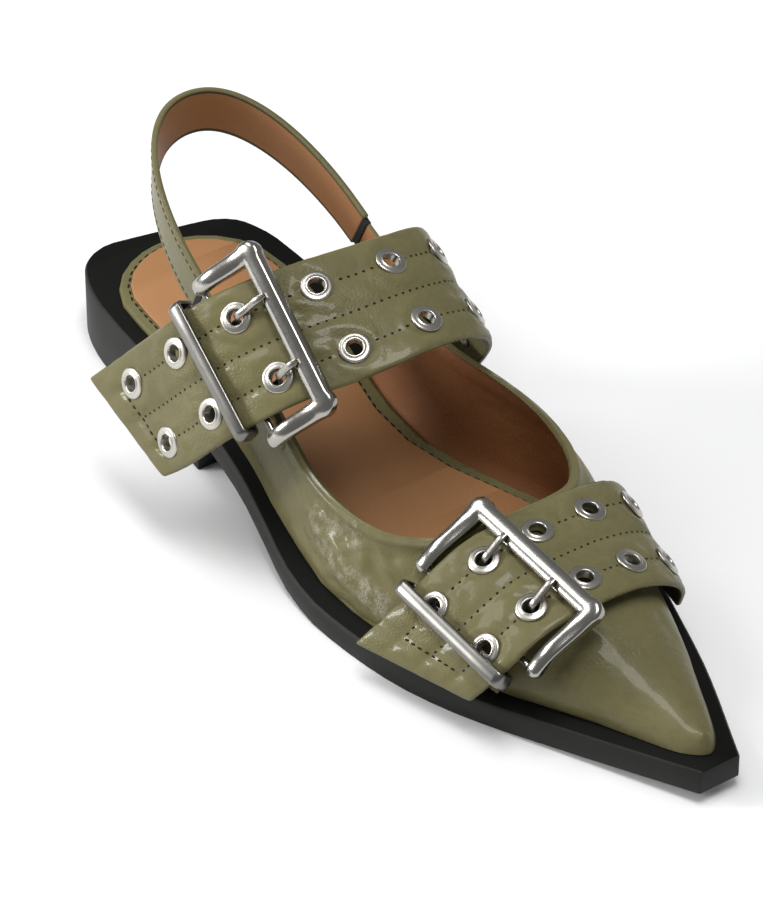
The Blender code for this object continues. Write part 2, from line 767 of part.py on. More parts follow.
def make_buckled_strap(fit, ribbon, chape_rows, under):
    runs = [fit.margin + fit.pitch * k for k in range(fit.count)]
    sides = (("rear", -ROW_OFFSET), ("front", ROW_OFFSET))
    spots = [(run, across) for run in runs for _, across in sides]
    make_strap(fit.name + "_strap", ribbon, fit.rows, fit.cells, spots)
    for k, run in enumerate(runs):
        for label, across in sides:
            make_eyelet(f"{fit.name}_eyelet_{label}_{k + 1}", ribbon, run, across)
    buckle = Buckle(ribbon, runs[fit.pin], fit.hinge)
    buckle.make_frame(fit.name + "_buckle")
    for label, across in sides:
        buckle.make_prong(f"{fit.name}_prong_{label}", across)
    buckle.make_keeper(fit.name + "_keeper", runs[fit.pin] - fit.keeper)
    buckle.make_chape(fit.name + "_chape", chape_rows, under)


def sling_centre(turn):
    """Top edge of the heel band's outer face: turn goes from -90 at the lateral end to 90."""
    a = math.radians(turn)
    side = 1 if a > 0 else -1
    half = (SLING_MEDIAL - SLING_LATERAL) / 2
    x = SLING_FRONT - (SLING_FRONT - SLING_BACK) * abs(math.cos(a)) ** SLING_POWER
    y = (SLING_MEDIAL + SLING_LATERAL) / 2 + side * half * abs(math.sin(a)) ** SLING_POWER
    share = (x - SLING_BACK) / (SLING_FRONT - SLING_BACK)
    return Vector((x, y, SLING_TOP_BACK + (SLING_TOP_FRONT - SLING_TOP_BACK) * share))


def make_sling(under):
    turns = span(-88.0, 88.0, 24)
    grid = []
    for turn in turns:
        top = sling_centre(turn)
        along = (sling_centre(turn + 1.0) - sling_centre(turn - 1.0)).normalized()
        down = (along * along.z - Vector((0.0, 0.0, 1.0))).normalized()
        grid.append([top + down * (SLING_WIDTH * share) for share in (0.0, 0.5, 1.0)])
    bm = bmesh.new()
    sheet(bm, grid)
    aim(bm, sling_centre(0.0), Vector((-1.0, 0.0, 0.0)))
    thicken(to_object("sling_strap", bm, "olive_leather", smooth=False), SLING_THICKNESS)
    for name, end, row, toward in (("lateral", grid[0], grid[1], -1), ("medial", grid[-1], grid[-2], 1)):
        along = (end[1] - row[1]).normalized()
        drop = (end[2] - end[0]).normalized()
        inward = Vector((0.0, -toward, 0.0)) * ((SLING_THICKNESS - TAB_THICKNESS) / 2)
        tab = []
        for run in (GAP, 8.0, 16.0, 24.0):
            lead = end[1] + along * run + inward
            points = [lead + drop * (TAB_WIDTH * share) for share in (-0.5, 0.0, 0.5)]
            tab.append([settle(point, under, TAB_THICKNESS + GAP + 0.1) for point in points])
        bm = bmesh.new()
        sheet(bm, tab)
        aim(bm, tab[0][1], Vector((0.0, toward, 0.0)))
        thicken(to_object("sling_tab_" + name, bm, "olive_leather", smooth=False), TAB_THICKNESS)


def build():
    for obj in list(bpy.data.objects):
        bpy.data.objects.remove(obj)
    make_outsole()
    make_insole()
    bm = upper_sheet()
    under = BVHTree.FromBMesh(bm)
    make_upper(bm)
    vamp = Settled(VAMP_STRAP, under, STRAP_THICKNESS + GAP + 0.2)
    make_buckled_strap(VAMP_FITTING, vamp, VAMP_CHAPE, under)
    instep = Settled(INSTEP_STRAP, under, STRAP_THICKNESS + GAP + 0.2)
    make_buckled_strap(INSTEP_FITTING, instep, INSTEP_CHAPE, under)
    make_sling(under)


build()
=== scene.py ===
import math

import bmesh
import bpy
import numpy as np
from mathutils import Matrix, Vector, noise
from mathutils.bvhtree import BVHTree
from mathutils.kdtree import KDTree


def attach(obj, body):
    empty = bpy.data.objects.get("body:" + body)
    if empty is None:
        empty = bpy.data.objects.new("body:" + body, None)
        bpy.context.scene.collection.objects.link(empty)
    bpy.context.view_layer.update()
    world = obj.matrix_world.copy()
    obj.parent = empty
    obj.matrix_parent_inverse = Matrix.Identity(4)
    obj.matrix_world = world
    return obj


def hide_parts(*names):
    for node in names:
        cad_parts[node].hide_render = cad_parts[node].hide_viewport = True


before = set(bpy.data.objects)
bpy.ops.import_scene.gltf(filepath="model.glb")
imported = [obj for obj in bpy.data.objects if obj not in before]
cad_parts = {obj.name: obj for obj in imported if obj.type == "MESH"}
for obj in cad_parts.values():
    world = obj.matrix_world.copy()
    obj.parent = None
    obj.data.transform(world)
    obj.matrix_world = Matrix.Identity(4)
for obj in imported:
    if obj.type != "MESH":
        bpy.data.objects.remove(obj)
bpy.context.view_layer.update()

# Lengths are in millimetres along the shoe: x from heel to toe, y to the inner side, z up.
mm = 0.001
heelCentre = 40.0
toModel = Matrix.Scale(mm, 4) @ Matrix.Translation((-heelCentre, 0.0, 0.0))
fromModel = toModel.inverted()
up = Vector((0.0, 0.0, 1.0))


# Shader sums

class Wire:
    def __init__(self, finish, socket):
        self.finish = finish
        self.socket = socket

    def maths(self, operation, *others):
        inputs = dict(enumerate((self,) + others))
        return self.finish.add("ShaderNodeMath", {"operation": operation}, inputs)

    def __add__(self, other):
        return self.maths("ADD", other)

    def __mul__(self, other):
        return self.maths("MULTIPLY", other)

    def __sub__(self, other):
        return self.maths("SUBTRACT", other)

    def __rsub__(self, other):
        return (self * -1.0) + other

    def __pow__(self, other):
        return self.maths("POWER", other)

    def ridge(self):
        return 1.0 - (self * 2.0 - 1.0).maths("ABSOLUTE")

    def between(self, low, high):
        ends = {"Value": self, "From Min": low, "From Max": high}
        return self.finish.add("ShaderNodeMapRange", {"interpolation_type": "SMOOTHSTEP"}, ends)

    __radd__ = __add__
    __rmul__ = __mul__


class Finish:
    def __init__(self, name, **values):
        self.material = bpy.data.materials.new(name)
        self.material.use_nodes = True
        self.tree = self.material.node_tree
        self.shader = self.tree.nodes["Principled BSDF"]
        for socket, value in values.items():
            self.shader.inputs[socket.replace("_", " ")].default_value = value

    def add(self, kind, settings, inputs, out=0):
        node = self.tree.nodes.new(kind)
        for name, value in settings.items():
            setattr(node, name, value)
        for name, value in inputs.items():
            if isinstance(value, Wire):
                self.tree.links.new(value.socket, node.inputs[name])
            else:
                node.inputs[name].default_value = value
        return Wire(self, node.outputs[out])

    def feed(self, **wires):
        for socket, wire in wires.items():
            self.tree.links.new(wire.socket, self.shader.inputs[socket.replace("_", " ")])

    def objectPlace(self):
        return self.add("ShaderNodeTexCoord", {}, {}, "Object")

    def stretched(self, place, scale, turn=(0.0, 0.0, 0.0)):
        return self.add("ShaderNodeMapping", {}, {"Vector": place, "Scale": scale, "Rotation": turn})

    def speckle(self, place, scale, detail=2.0, distortion=0.0):
        inputs = {"Vector": place, "Scale": scale, "Detail": detail, "Distortion": distortion}
        return self.add("ShaderNodeTexNoise", {}, inputs)

    def cells(self, place, scale):
        settings = {"feature": "DISTANCE_TO_EDGE"}
        return self.add("ShaderNodeTexVoronoi", settings, {"Vector": place, "Scale": scale}, "Distance")

    def colours(self, factor, first, second):
        first, second = (c if isinstance(c, Wire) else (*c, 1.0) for c in (first, second))
        inputs = {0: factor, 6: first, 7: second}
        return self.add("ShaderNodeMix", {"data_type": "RGBA"}, inputs, 2)

    def bump(self, height, strength, distance):
        inputs = {"Height": height, "Strength": strength, "Distance": distance}
        return self.add("ShaderNodeBump", {}, inputs)


leatherLook = {
    "dark": (0.079, 0.071, 0.0315),
    "light": (0.132, 0.119, 0.055),
    # pale colour of the painted highlight flecks mixed into the wrinkled patches
    "paintedHighlight": (0.44, 0.42, 0.36),
    "paintedHighlightShare": 0.32,
    "roughness": 0.27,
    "specular": 0.13,
    "coat": 0.12,
    "coatRoughness": 0.07,
    "crinkle": 0.30,
    "relief": 0.0006,
    "broadScale": 26.0,
    "patchScale": 42.0,
    "foldScale": 130.0,
    "paintedHighlightScale": 320.0,
    "pebbleScale": 820.0,
    "strokeScale": 1900.0,
    "strokeStretch": (1.0, 0.30, 0.30),
    "poreScale": 2600.0,
}


def makeLeather(name, look, wrinkleAndHighlightSpots=()):
    finish = Finish(
        name, Coat_Weight=look["coat"], Coat_Roughness=look["coatRoughness"],
        Specular_IOR_Level=look["specular"],
    )
    place = finish.objectPlace()
    broad = finish.speckle(place, look["broadScale"], 3.0)
    folds = finish.speckle(place, look["foldScale"], 2.0, 1.1).ridge() ** 3.0
    pebble = finish.cells(place, look["pebbleScale"]).between(0.0, 0.30)
    drawn = finish.stretched(place, look["strokeStretch"])
    strokes = finish.speckle(drawn, look["strokeScale"], 2.0, 0.3).ridge() ** 2.0
    pores = finish.speckle(place, look["poreScale"])
    patches = finish.speckle(place, look["patchScale"], 2.0).between(0.50, 0.66)
    wrinkleAndPaintedHighlightMask = None
    # spots where the leather is wrinkled and also gets painted highlight flecks
    for spot, reach in wrinkleAndHighlightSpots:
        away = finish.add("ShaderNodeVectorMath", {"operation": "DISTANCE"}, {0: place, 1: spot}, "Value")
        near = 1.0 - away.between(reach * 0.35, reach)
        wrinkleAndPaintedHighlightMask = near if wrinkleAndPaintedHighlightMask is None else wrinkleAndPaintedHighlightMask.maths("MAXIMUM", near)
    colour = finish.colours(broad * 0.75 + folds * 0.25, look["dark"], look["light"])
    height = folds * (0.10 + patches * look["crinkle"]) + pebble * (0.05 + patches * 0.16) + pores * 0.04
    if wrinkleAndPaintedHighlightMask is not None:
        height = height + wrinkleAndPaintedHighlightMask * (strokes * 0.50 + pebble * 0.16)
        # pale painted highlight flecks along the wrinkle strokes, mixed into the base colour
        scatter = finish.speckle(place, look["paintedHighlightScale"]).between(0.35, 0.65)
        paintedHighlights = wrinkleAndPaintedHighlightMask * strokes.between(0.35, 0.95) * scatter
        colour = finish.colours(paintedHighlights * look["paintedHighlightShare"], colour, look["paintedHighlight"])
    finish.feed(
        Base_Color=colour,
        Roughness=look["roughness"] + 0.10 * pores + 0.08 * broad,
        Normal=finish.bump(height, 0.6, look["relief"]),
    )
    return finish


tanLook = {"dark": (0.235, 0.112, 0.045), "light": (0.30, 0.150, 0.064), "roughness": 0.5}
# the lining's tan is painted much darker than the sock's, as painted shade inside the wall
liningShadedLook = {"dark": (0.12, 0.044, 0.0142), "light": (0.17, 0.068, 0.0245), "roughness": 0.5}
slingTanLook = {"dark": (0.235, 0.106, 0.040), "light": (0.30, 0.143, 0.057), "roughness": 0.5}


def makeTan(name, look):
    finish = Finish(name, Specular_IOR_Level=0.25)
    place = finish.objectPlace()
    broad = finish.speckle(place, 18.0, 3.0)
    grain = finish.speckle(place, 1500.0, 2.0)
    finish.feed(
        Base_Color=finish.colours(broad * 0.75 + grain * 0.25, look["dark"], look["light"]),
        Roughness=look["roughness"] + 0.16 * grain,
        Normal=finish.bump(grain + 0.8 * finish.speckle(place, 320.0, 2.0), 0.25, 0.0004),
    )
    return finish


def makeRubber(name, dark, light, roughness, specular=0.22):
    finish = Finish(name, Specular_IOR_Level=specular)
    place = finish.objectPlace()
    broad = finish.speckle(place, 30.0, 3.0)
    grain = finish.speckle(place, 1800.0, 2.0)
    finish.feed(
        Base_Color=finish.colours(broad, dark, light),
        Roughness=roughness + 0.12 * broad + 0.06 * grain,
        Normal=finish.bump(grain, 0.12, 0.0003),
    )
    return finish


def makeMetal(name, dark, light, roughness):
    finish = Finish(name, Metallic=1.0)
    place = finish.objectPlace()
    broad = finish.speckle(place, 60.0, 2.0)
    scuffs = finish.speckle(finish.stretched(place, (1.0, 1.0, 0.12)), 1400.0, 3.0)
    finish.feed(
        Base_Color=finish.colours(broad, dark, light),
        Roughness=roughness + 0.06 * broad + 0.07 * scuffs,
        Normal=finish.bump(finish.speckle(place, 150.0, 1.0), 0.05, 0.0005),
    )
    return finish


def makeThread(name, dark, light):
    finish = Finish(name, Specular_IOR_Level=0.1)
    twist = finish.speckle(finish.objectPlace(), 1600.0, 2.0)
    finish.feed(
        Base_Color=finish.colours(twist, dark, light),
        Roughness=0.55 + 0.25 * twist,
        Normal=finish.bump(twist, 0.4, 0.0002),
    )
    return finish


# middle and reach of the finely wrinkled patches on the outer side of the vamp, in metres; these patches
# also get pale painted highlight flecks in the base colour
vampWrinklesAndHighlights = [
    ((0.1085, -0.0424, 0.0294), 0.0065),
    ((0.1145, -0.0421, 0.0301), 0.0050),
    ((0.1096, -0.0438, 0.0240), 0.0050),
    ((0.1152, -0.0442, 0.0224), 0.0060),
    ((0.1213, -0.0442, 0.0213), 0.0060),
    ((0.1269, -0.0439, 0.0206), 0.0060),
    ((0.1322, -0.0434, 0.0195), 0.0060),
    ((0.1382, -0.0427, 0.0185), 0.0060),
    ((0.1230, -0.0400, 0.0325), 0.0060),
]
upperFinish = {**leatherLook, "roughness": 0.32, "coatRoughness": 0.11}
upperLeather = makeLeather("upperLeather", upperFinish, vampWrinklesAndHighlights)
strapLeather = makeLeather("strapLeather", {**leatherLook, "crinkle": 0.17})
liningTanPaintedShade = makeTan("liningTanPaintedShade", liningShadedLook)
sockTan = makeTan("sockTan", tanLook)
slingTan = makeTan("slingTan", slingTanLook)
soleRubber = makeRubber("soleRubber", (0.0075, 0.0075, 0.0068), (0.0125, 0.0122, 0.0112), 0.46)
# the sole's upward faces are painted nearly black, as painted shade under the upper
soleTopPaintedShade = makeRubber("soleTopPaintedShade", (0.0035, 0.0035, 0.003), (0.006, 0.006, 0.0055), 0.55, 0.07)
blackElastic = makeRubber("blackElastic", (0.008, 0.008, 0.008), (0.02, 0.02, 0.02), 0.7)
edgePaint = makeRubber("edgePaint", (0.03, 0.028, 0.014), (0.055, 0.05, 0.028), 0.4)
buckleMetal = makeMetal("buckleMetal", (0.34, 0.33, 0.30), (0.45, 0.435, 0.40), 0.12)
eyeletMetal = makeMetal("eyeletMetal", (0.44, 0.42, 0.375), (0.58, 0.56, 0.505), 0.26)
prongMetal = makeMetal("prongMetal", (0.30, 0.29, 0.265), (0.40, 0.385, 0.35), 0.22)
keeperMetal = makeMetal("keeperMetal", (0.17, 0.165, 0.152), (0.24, 0.232, 0.214), 0.24)
oliveThread = makeThread("oliveThread", (0.035, 0.031, 0.013), (0.075, 0.067, 0.030))
darkThread = makeThread("darkThread", (0.006, 0.0055, 0.003), (0.018, 0.016, 0.009))
print("finishes made")


# Placing and shared shapes

def cadCopy(node):
    bm = bmesh.new()
    bm.from_mesh(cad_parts[node].data)
    bm.transform(fromModel)
    bmesh.ops.remove_doubles(bm, verts=bm.verts, dist=0.002)
    return bm


def toQuads(bm):
    bmesh.ops.join_triangles(
        bm, faces=bm.faces, angle_face_threshold=math.radians(60), angle_shape_threshold=math.radians(120)
    )


def toPiece(bm, name, finishes, nodes, smoothTo=40.0):
    bm.transform(toModel)
    mesh = bpy.data.meshes.new(name)
    bm.to_mesh(mesh)
    bm.free()
    for finish in finishes:
        mesh.materials.append(finish.material)
    mesh.shade_smooth()
    mesh.set_sharp_from_angle(angle=math.radians(smoothTo))
    piece = bpy.data.objects.new(name, mesh)
    bpy.context.scene.collection.objects.link(piece)
    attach(piece, "root")
    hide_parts(*nodes)
    print(name, len(mesh.polygons), "faces")
    return piece


def sharpEdges(bm, angle):
    limit = math.radians(angle)
    return [e for e in bm.edges if e.is_manifold and e.calc_face_angle() > limit]


def roundEdges(bm, edges, offset, segments):
    bmesh.ops.bevel(
        bm, geom=edges, offset=offset, offset_type="OFFSET", segments=segments, profile=0.5,
        affect="EDGES", material=-1, clamp_overlap=False,
    )


def subdivided(bm, levels):
    mesh = bpy.data.meshes.new("cage")
    bm.to_mesh(mesh)
    bm.free()
    cage = bpy.data.objects.new("cage", mesh)
    bpy.context.scene.collection.objects.link(cage)
    smooth = cage.modifiers.new("smooth", "SUBSURF")
    smooth.levels = levels
    smooth.render_levels = levels
    smooth.boundary_smooth = "PRESERVE_CORNERS"
    fine = bmesh.new()
    fine.from_object(cage, bpy.context.evaluated_depsgraph_get())
    bpy.data.objects.remove(cage)
    bpy.data.meshes.remove(mesh)
    return fine


def natural(knots, values):
    # cubic curve through rows of numbers, straight at both ends
    knots = np.array(knots, float)
    values = np.array(values, float)
    step = np.diff(knots)
    slope = np.diff(values, axis=0) / step[:, None]
    matrix = np.eye(len(knots))
    right = np.zeros_like(values)
    for i in range(1, len(knots) - 1):
        matrix[i, i - 1:i + 2] = step[i - 1], 2 * (step[i - 1] + step[i]), step[i]
        right[i] = 6 * (slope[i] - slope[i - 1])
    bend = np.linalg.solve(matrix, right)

    def value(k):
        i = int(np.clip(np.searchsorted(knots, k) - 1, 0, len(step) - 1))
        a = knots[i + 1] - k
        b = k - knots[i]
        h = step[i]
        return (
            (bend[i] * a**3 + bend[i + 1] * b**3) / (6 * h)
            + (values[i] / h - bend[i] * h / 6) * a
            + (values[i + 1] / h - bend[i + 1] * h / 6) * b
        )

    return value


def lengthsAlong(points):
    gaps = np.linalg.norm(np.diff(np.array(points, float), axis=0), axis=1)
    return np.concatenate([[0.0], np.cumsum(gaps)])


def runSection(bm, places, outline, closed):
    # draws an outline through a row of places, one extrusion for each step
    ring = [bm.verts.new(Vector((x, y, 0.0))) for x, y in outline]
    edges = [bm.edges.new((ring[k - 1], ring[k])) for k in range(len(ring))]
    bmesh.ops.transform(bm, matrix=places[0], verts=ring)
    first = list(edges)
    if not closed:
        bm.faces.new(ring)
    for before, after in zip(places, places[1:]):
        made = bmesh.ops.extrude_edge_only(bm, edges=edges)["geom"]
        edges = [e for e in made if isinstance(e, bmesh.types.BMEdge)]
        verts = [v for v in made if isinstance(v, bmesh.types.BMVert)]
        bmesh.ops.transform(bm, matrix=after @ before.inverted(), verts=verts)
    if closed:
        bmesh.ops.bridge_loops(bm, edges=first + edges)
    else:
        bmesh.ops.contextual_create(bm, geom=edges)


def standAt(point, along, upward, wide=1.0, high=1.0):
    # matrix whose z runs along and whose y points up
    along = along.normalized()
    upward = (upward - along * upward.dot(along)).normalized()
    turn = Matrix((upward.cross(along), upward, along)).transposed().to_4x4()
    return Matrix.Translation(point) @ turn @ Matrix.Diagonal((wide, high, 1.0, 1.0))


def squircle(count, power):
    outline = []
    for k in range(count):
        a = 2 * math.pi * (k + 0.5) / count
        c, s = math.cos(a), math.sin(a)
        outline.append((math.copysign(abs(c) ** (2 / power), c), math.copysign(abs(s) ** (2 / power), s)))
    return outline


def flatBar(soft, crown, steps):
    # a bar of half size 1 with soft corners and a crowned top
    outline = []
    for quarter in range(4):
        for k in range(steps + 1):
            a = math.radians(90 * (quarter + k / steps))
            middle = math.radians(45 + 90 * quarter)
            outline.append([
                math.copysign(1 - soft, turn(middle)) + soft * turn(a) for turn in (math.cos, math.sin)
            ])
        if quarter == 0:
            outline += [[x * (1 - soft), 1.0] for x in (0.6, 0.3, 0.0, -0.3, -0.6)]
    return [(x, y - crown * x**2 if y > 0 else y) for x, y in outline]


def cornerReach(a, half, rounding):
    # distance from the middle of a rounded square to its edge, at an angle from the flat side
    inner = half - rounding
    a = min(a, math.pi / 2 - a)
    if math.tan(a) * half <= inner:
        return half / math.cos(a)
    across = inner * (math.cos(a) + math.sin(a))
    return across + math.sqrt(across**2 - 2 * inner**2 + rounding**2)


def hump(away, at, width):
    return math.exp(-(((away - at) / width) ** 2))


def addThread(bm, matrix):
    bmesh.ops.create_uvsphere(bm, u_segments=6, v_segments=5, radius=1.0, matrix=matrix)


def flatBand(length, width, cell):
    # a flat strip with run along x and across along y
    bm = bmesh.new()
    bmesh.ops.create_grid(bm, x_segments=round(length / cell), y_segments=round(width / cell), size=0.5)
    bmesh.ops.translate(bm, vec=(0.5, 0.0, 0.0), verts=bm.verts)
    bmesh.ops.scale(bm, vec=(length, width, 1.0), verts=bm.verts)
    return bm


def thicken(bm, thick):
    # the strip's face stays at height zero
    made = bmesh.ops.extrude_face_region(bm, geom=bm.faces[:])["geom"]
    top = [v for v in made if isinstance(v, bmesh.types.BMVert)]
    bmesh.ops.translate(bm, vec=(0.0, 0.0, thick), verts=top)
    bmesh.ops.translate(bm, vec=(0.0, 0.0, -thick), verts=bm.verts)
    bmesh.ops.recalc_face_normals(bm, faces=bm.faces)


class Laid:
    # a sheet laid on the shoe: flat run, across and lift become a place
    def __init__(self, table, length, width):
        for axis in (0, 1):
            table = np.moveaxis(table, axis, 0)
            for _ in range(2):
                table = np.concatenate([[2 * table[0] - table[1]], table, [2 * table[-1] - table[-2]]])
            table = np.moveaxis(table, 0, axis)
        self.table = table
        self.length = length
        self.width = width
        self.stepRun = length / (table.shape[0] - 5)
        self.stepAcross = width / (table.shape[1] - 5)

    @staticmethod
    def weights(f):
        return (
            ((-f + 2) * f - 1) * f / 2,
            ((3 * f - 5) * f * f + 2) / 2,
            ((-3 * f + 4) * f + 1) * f / 2,
            (f - 1) * f * f / 2,
        )

    def spot(self, run, across):
        u = np.clip(run / self.stepRun + 2, 1, self.table.shape[0] - 2.001)
        v = np.clip((across + self.width / 2) / self.stepAcross + 2, 1, self.table.shape[1] - 2.001)
        i = np.floor(u).astype(int)
        j = np.floor(v).astype(int)
        total = 0.0
        for a, wa in enumerate(self.weights(u - i)):
            for b, wb in enumerate(self.weights(v - j)):
                total = total + self.table[i - 1 + a, j - 1 + b] * (wa * wb)[:, None]
        return total

    def place(self, flat):
        run, across, lift = flat.T
        nudge = 0.5
        along = self.spot(run + nudge, across) - self.spot(run - nudge, across)
        side = self.spot(run, across + nudge) - self.spot(run, across - nudge)
        out = np.cross(side, along)
        out /= np.linalg.norm(out, axis=1)[:, None]
        return self.spot(run, across) + out * lift[:, None]

    def stand(self, run, across, lift=0.0):
        # matrix of a rigid piece: x across, y along, z out of the sheet
        nudge = 1.5
        rows = [(run, across, lift), (run + nudge, across, lift), (run - nudge, across, lift)]
        rows += [(run, across + nudge, lift), (run, across - nudge, lift)]
        spots = [Vector(p) for p in self.place(np.array(rows))]
        along = (spots[1] - spots[2]).normalized()
        out = (spots[3] - spots[4]).cross(along).normalized()
        turn = Matrix((along.cross(out), along, out)).transposed().to_4x4()
        return Matrix.Translation(spots[0]) @ turn

    def bend(self, bm):
        flat = np.array([v.co for v in bm.verts], float)
        for vert, spot in zip(bm.verts, self.place(flat)):
            vert.co = spot
        bmesh.ops.reverse_faces(bm, faces=bm.faces)  # run, across and lift are left handed


def keepFlat(bm):
    # the flat shape becomes the sheet's own map, in metres
    layer = bm.loops.layers.uv.new("flat")
    for face in bm.faces:
        for loop in face.loops:
            loop[layer].uv = (loop.vert.co.x * mm, loop.vert.co.y * mm)


# Upper

upperLook = {
    "levels": 3, "wall": 1.6, "rimAngle": 55, "rimRound": 0.45, "mergeWithin": 0.6, "soleClear": 4.0,
    "swell": 0.16, "swellScale": 0.085, "ripple": 0.07, "rippleScale": 0.27, "edgeHold": 7.0,
    "bead": 0.85, "beadAt": 2.3, "beadWidth": 1.25, "groove": 0.45, "grooveAt": 5.8, "grooveWidth": 2.2,
    "nub": 0.5, "nubPlace": (274.0, 0.0, 17.0), "nubWidth": 1.5,
    "tuck": 1.9, "tuckHeight": 6.0, "tuckFrom": 120.0, "tuckTo": 272.0, "tuckFade": 24.0,
}
creaseLook = {"wander": 1.3, "wanderScale": 0.16, "shoulder": 0.55, "shoulderAt": 2.1, "overrun": 0.2}
# from, to, depth and width of each crease, lateral side first
upperCreases = [
    ((143, -42, 31), (158, -44, 22.5), -0.9, 4.0),
    ((156, -44, 23.5), (173, -44, 18.5), -0.9, 4.0),
    ((171, -44, 18.5), (186, -41, 19), -0.6, 4.0),
    ((176, -33, 37), (196, -36, 28), 0.55, 1.6),
    ((170, -35, 35), (190, -40, 24), 0.50, 1.5),
    ((163, -37, 33), (182, -42, 21), 0.50, 1.6),
    ((155, -39, 31), (172, -44, 20), 0.45, 1.5),
    ((147, -40, 31), (161, -44, 20), 0.40, 1.5),
    ((138, -40, 32), (150, -43, 21), 0.35, 1.4),
    ((150, 27, 36), (172, 33, 24), 0.40, 1.6),
    ((138, 24, 38), (160, 29, 25), 0.35, 1.6),
    ((228, -20, 26), (246, -14, 24), 0.30, 2.2),
    ((226, 16, 29), (248, 12, 23), 0.25, 2.2),
]


def outerSheet():
    bm = cadCopy("upper")
    bmesh.ops.split_edges(bm, edges=sharpEdges(bm, upperLook["rimAngle"]))
    left = set(bm.faces)
    islands = []
    while left:
        todo = [left.pop()]
        island = list(todo)
        while todo:
            near = {f for e in todo.pop().edges for f in e.link_faces} & left
            left -= near
            todo += near
            island += near
        islands.append(island)
    keep = set(max(islands, key=lambda island: sum(f.calc_area() for f in island)))
    bmesh.ops.delete(bm, geom=[f for f in bm.faces if f not in keep], context="FACES")
    # faces narrower than this would fold when they are subdivided
    bmesh.ops.remove_doubles(bm, verts=bm.verts, dist=upperLook["mergeWithin"])
    return bm


def creaseDepth(spot, creases):
    look = creaseLook
    total = 0.0
    for start, end, depth, width in creases:
        a = Vector(start)
        along = Vector(end) - a
        share = (spot - a).dot(along) / along.length_squared
        if not -look["overrun"] < share < 1 + look["overrun"]:
            continue
        wander = width * look["wander"] * noise.noise(spot * look["wanderScale"] + a * 0.7)
        away = (spot - a - along * share).length + wander
        fade = max(0.0, 1 - abs(2 * share - 1) ** 3 / (1 + 2 * look["overrun"]))
        shoulder = hump(away, look["shoulderAt"] * width, width)
        total += depth * fade * (look["shoulder"] * shoulder - hump(away, 0.0, width))
    return total


sheetMesh = outerSheet()
upperTree = BVHTree.FromBMesh(sheetMesh)


def borders(bm, sole):
    # the free edge round the opening, and the edge that meets the sole
    trees = []
    clear = upperLook["soleClear"]
    for free in (True, False):
        edge = [v.co for v in bm.verts if v.is_boundary and (sole.find_nearest(v.co)[3] > clear) == free]
        tree = KDTree(len(edge))
        for k, spot in enumerate(edge):
            tree.insert(spot, k)
        tree.balance()
        trees.append(tree)
    return trees


def tuckAt(vert, foot):
    # the lower edge curls in over the sole
    look = upperLook
    near = max(0.0, 1.0 - foot.find(vert.co)[2] / look["tuckHeight"])
    ends = min(vert.co.x - look["tuckFrom"], look["tuckTo"] - vert.co.x) / look["tuckFade"]
    inward = Vector((vert.normal.x, vert.normal.y, 0.0))
    return inward * (-look["tuck"] * near**2 * max(0.0, min(1.0, ends)))


def makeUpper(bm):
    look = upperLook
    toQuads(bm)
    bm = subdivided(bm, look["levels"])
    bm.normal_update()
    soleMesh = cadCopy("outsole")
    edge, foot = borders(bm, BVHTree.FromBMesh(soleMesh))
    soleMesh.free()
    moves, tucks = [], []
    for vert in bm.verts:
        spot = vert.co
        away = edge.find(spot)[2]
        lift = look["swell"] * noise.noise(spot * look["swellScale"])
        lift += look["ripple"] * noise.noise(spot * look["rippleScale"])
        lift += creaseDepth(spot, upperCreases)
        lift *= min(1.0, away / look["edgeHold"]) ** 2
        lift += look["bead"] * hump(away, look["beadAt"], look["beadWidth"])
        lift -= look["groove"] * look["bead"] * hump(away, look["grooveAt"], look["grooveWidth"])
        lift += look["nub"] * hump((spot - Vector(look["nubPlace"])).length, 0.0, look["nubWidth"])
        moves.append(vert.normal * lift)
        tucks.append(tuckAt(vert, foot))
    for vert, move, tuck in zip(bm.verts, moves, tucks):
        vert.co += tuck if vert.is_boundary else move + tuck
    finishes = [upperLeather, liningTanPaintedShade, upperLeather]
    piece = toPiece(bm, "upper_leather", finishes, ["upper"], 60)
    wall = piece.modifiers.new("wall", "SOLIDIFY")
    wall.thickness = look["wall"] * mm
    wall.offset = -1.0
    wall.material_offset = 1
    wall.material_offset_rim = 2
    rim = piece.modifiers.new("rim", "BEVEL")
    rim.width = look["rimRound"] * mm
    rim.segments = 2
    rim.limit_method = "ANGLE"
    rim.angle_limit = math.radians(60)


makeUpper(sheetMesh)


# Wide straps

strapLook = {
    "width": 41.0, "thick": 2.0, "cell": 1.25, "edgeRound": 0.8, "edgeFall": 0.35, "edgeBand": 3.5,
    "rest": 0.5, "reach": 5.0, "rowOffset": 11.0, "holeRadius": 3.5, "holeCut": 0.35,
    "swell": 0.50, "ripple": 0.14, "dip": 0.80, "dipWidth": 1.7, "endHold": 7.0,
    "ringRise": 0.32, "ringRiseAt": 7.2, "ringRiseWidth": 1.5,
    "ringDip": 0.15, "ringDipAt": 4.6, "ringDipWidth": 1.2,
    "hem": 0.45, "hemAt": 4.2, "hemWidth": 2.8, "hemSeamAt": 8.4, "hemSeamWidth": 1.1,
}
stitchLook = {
    "pitch": 2.5, "length": 1.75, "width": 0.44, "height": 0.26,
    "start": 9.0, "stop": 6.0, "hemBack": 0.6, "eyeletClear": 5.6, "skew": 5.0, "lift": 0.02,
}
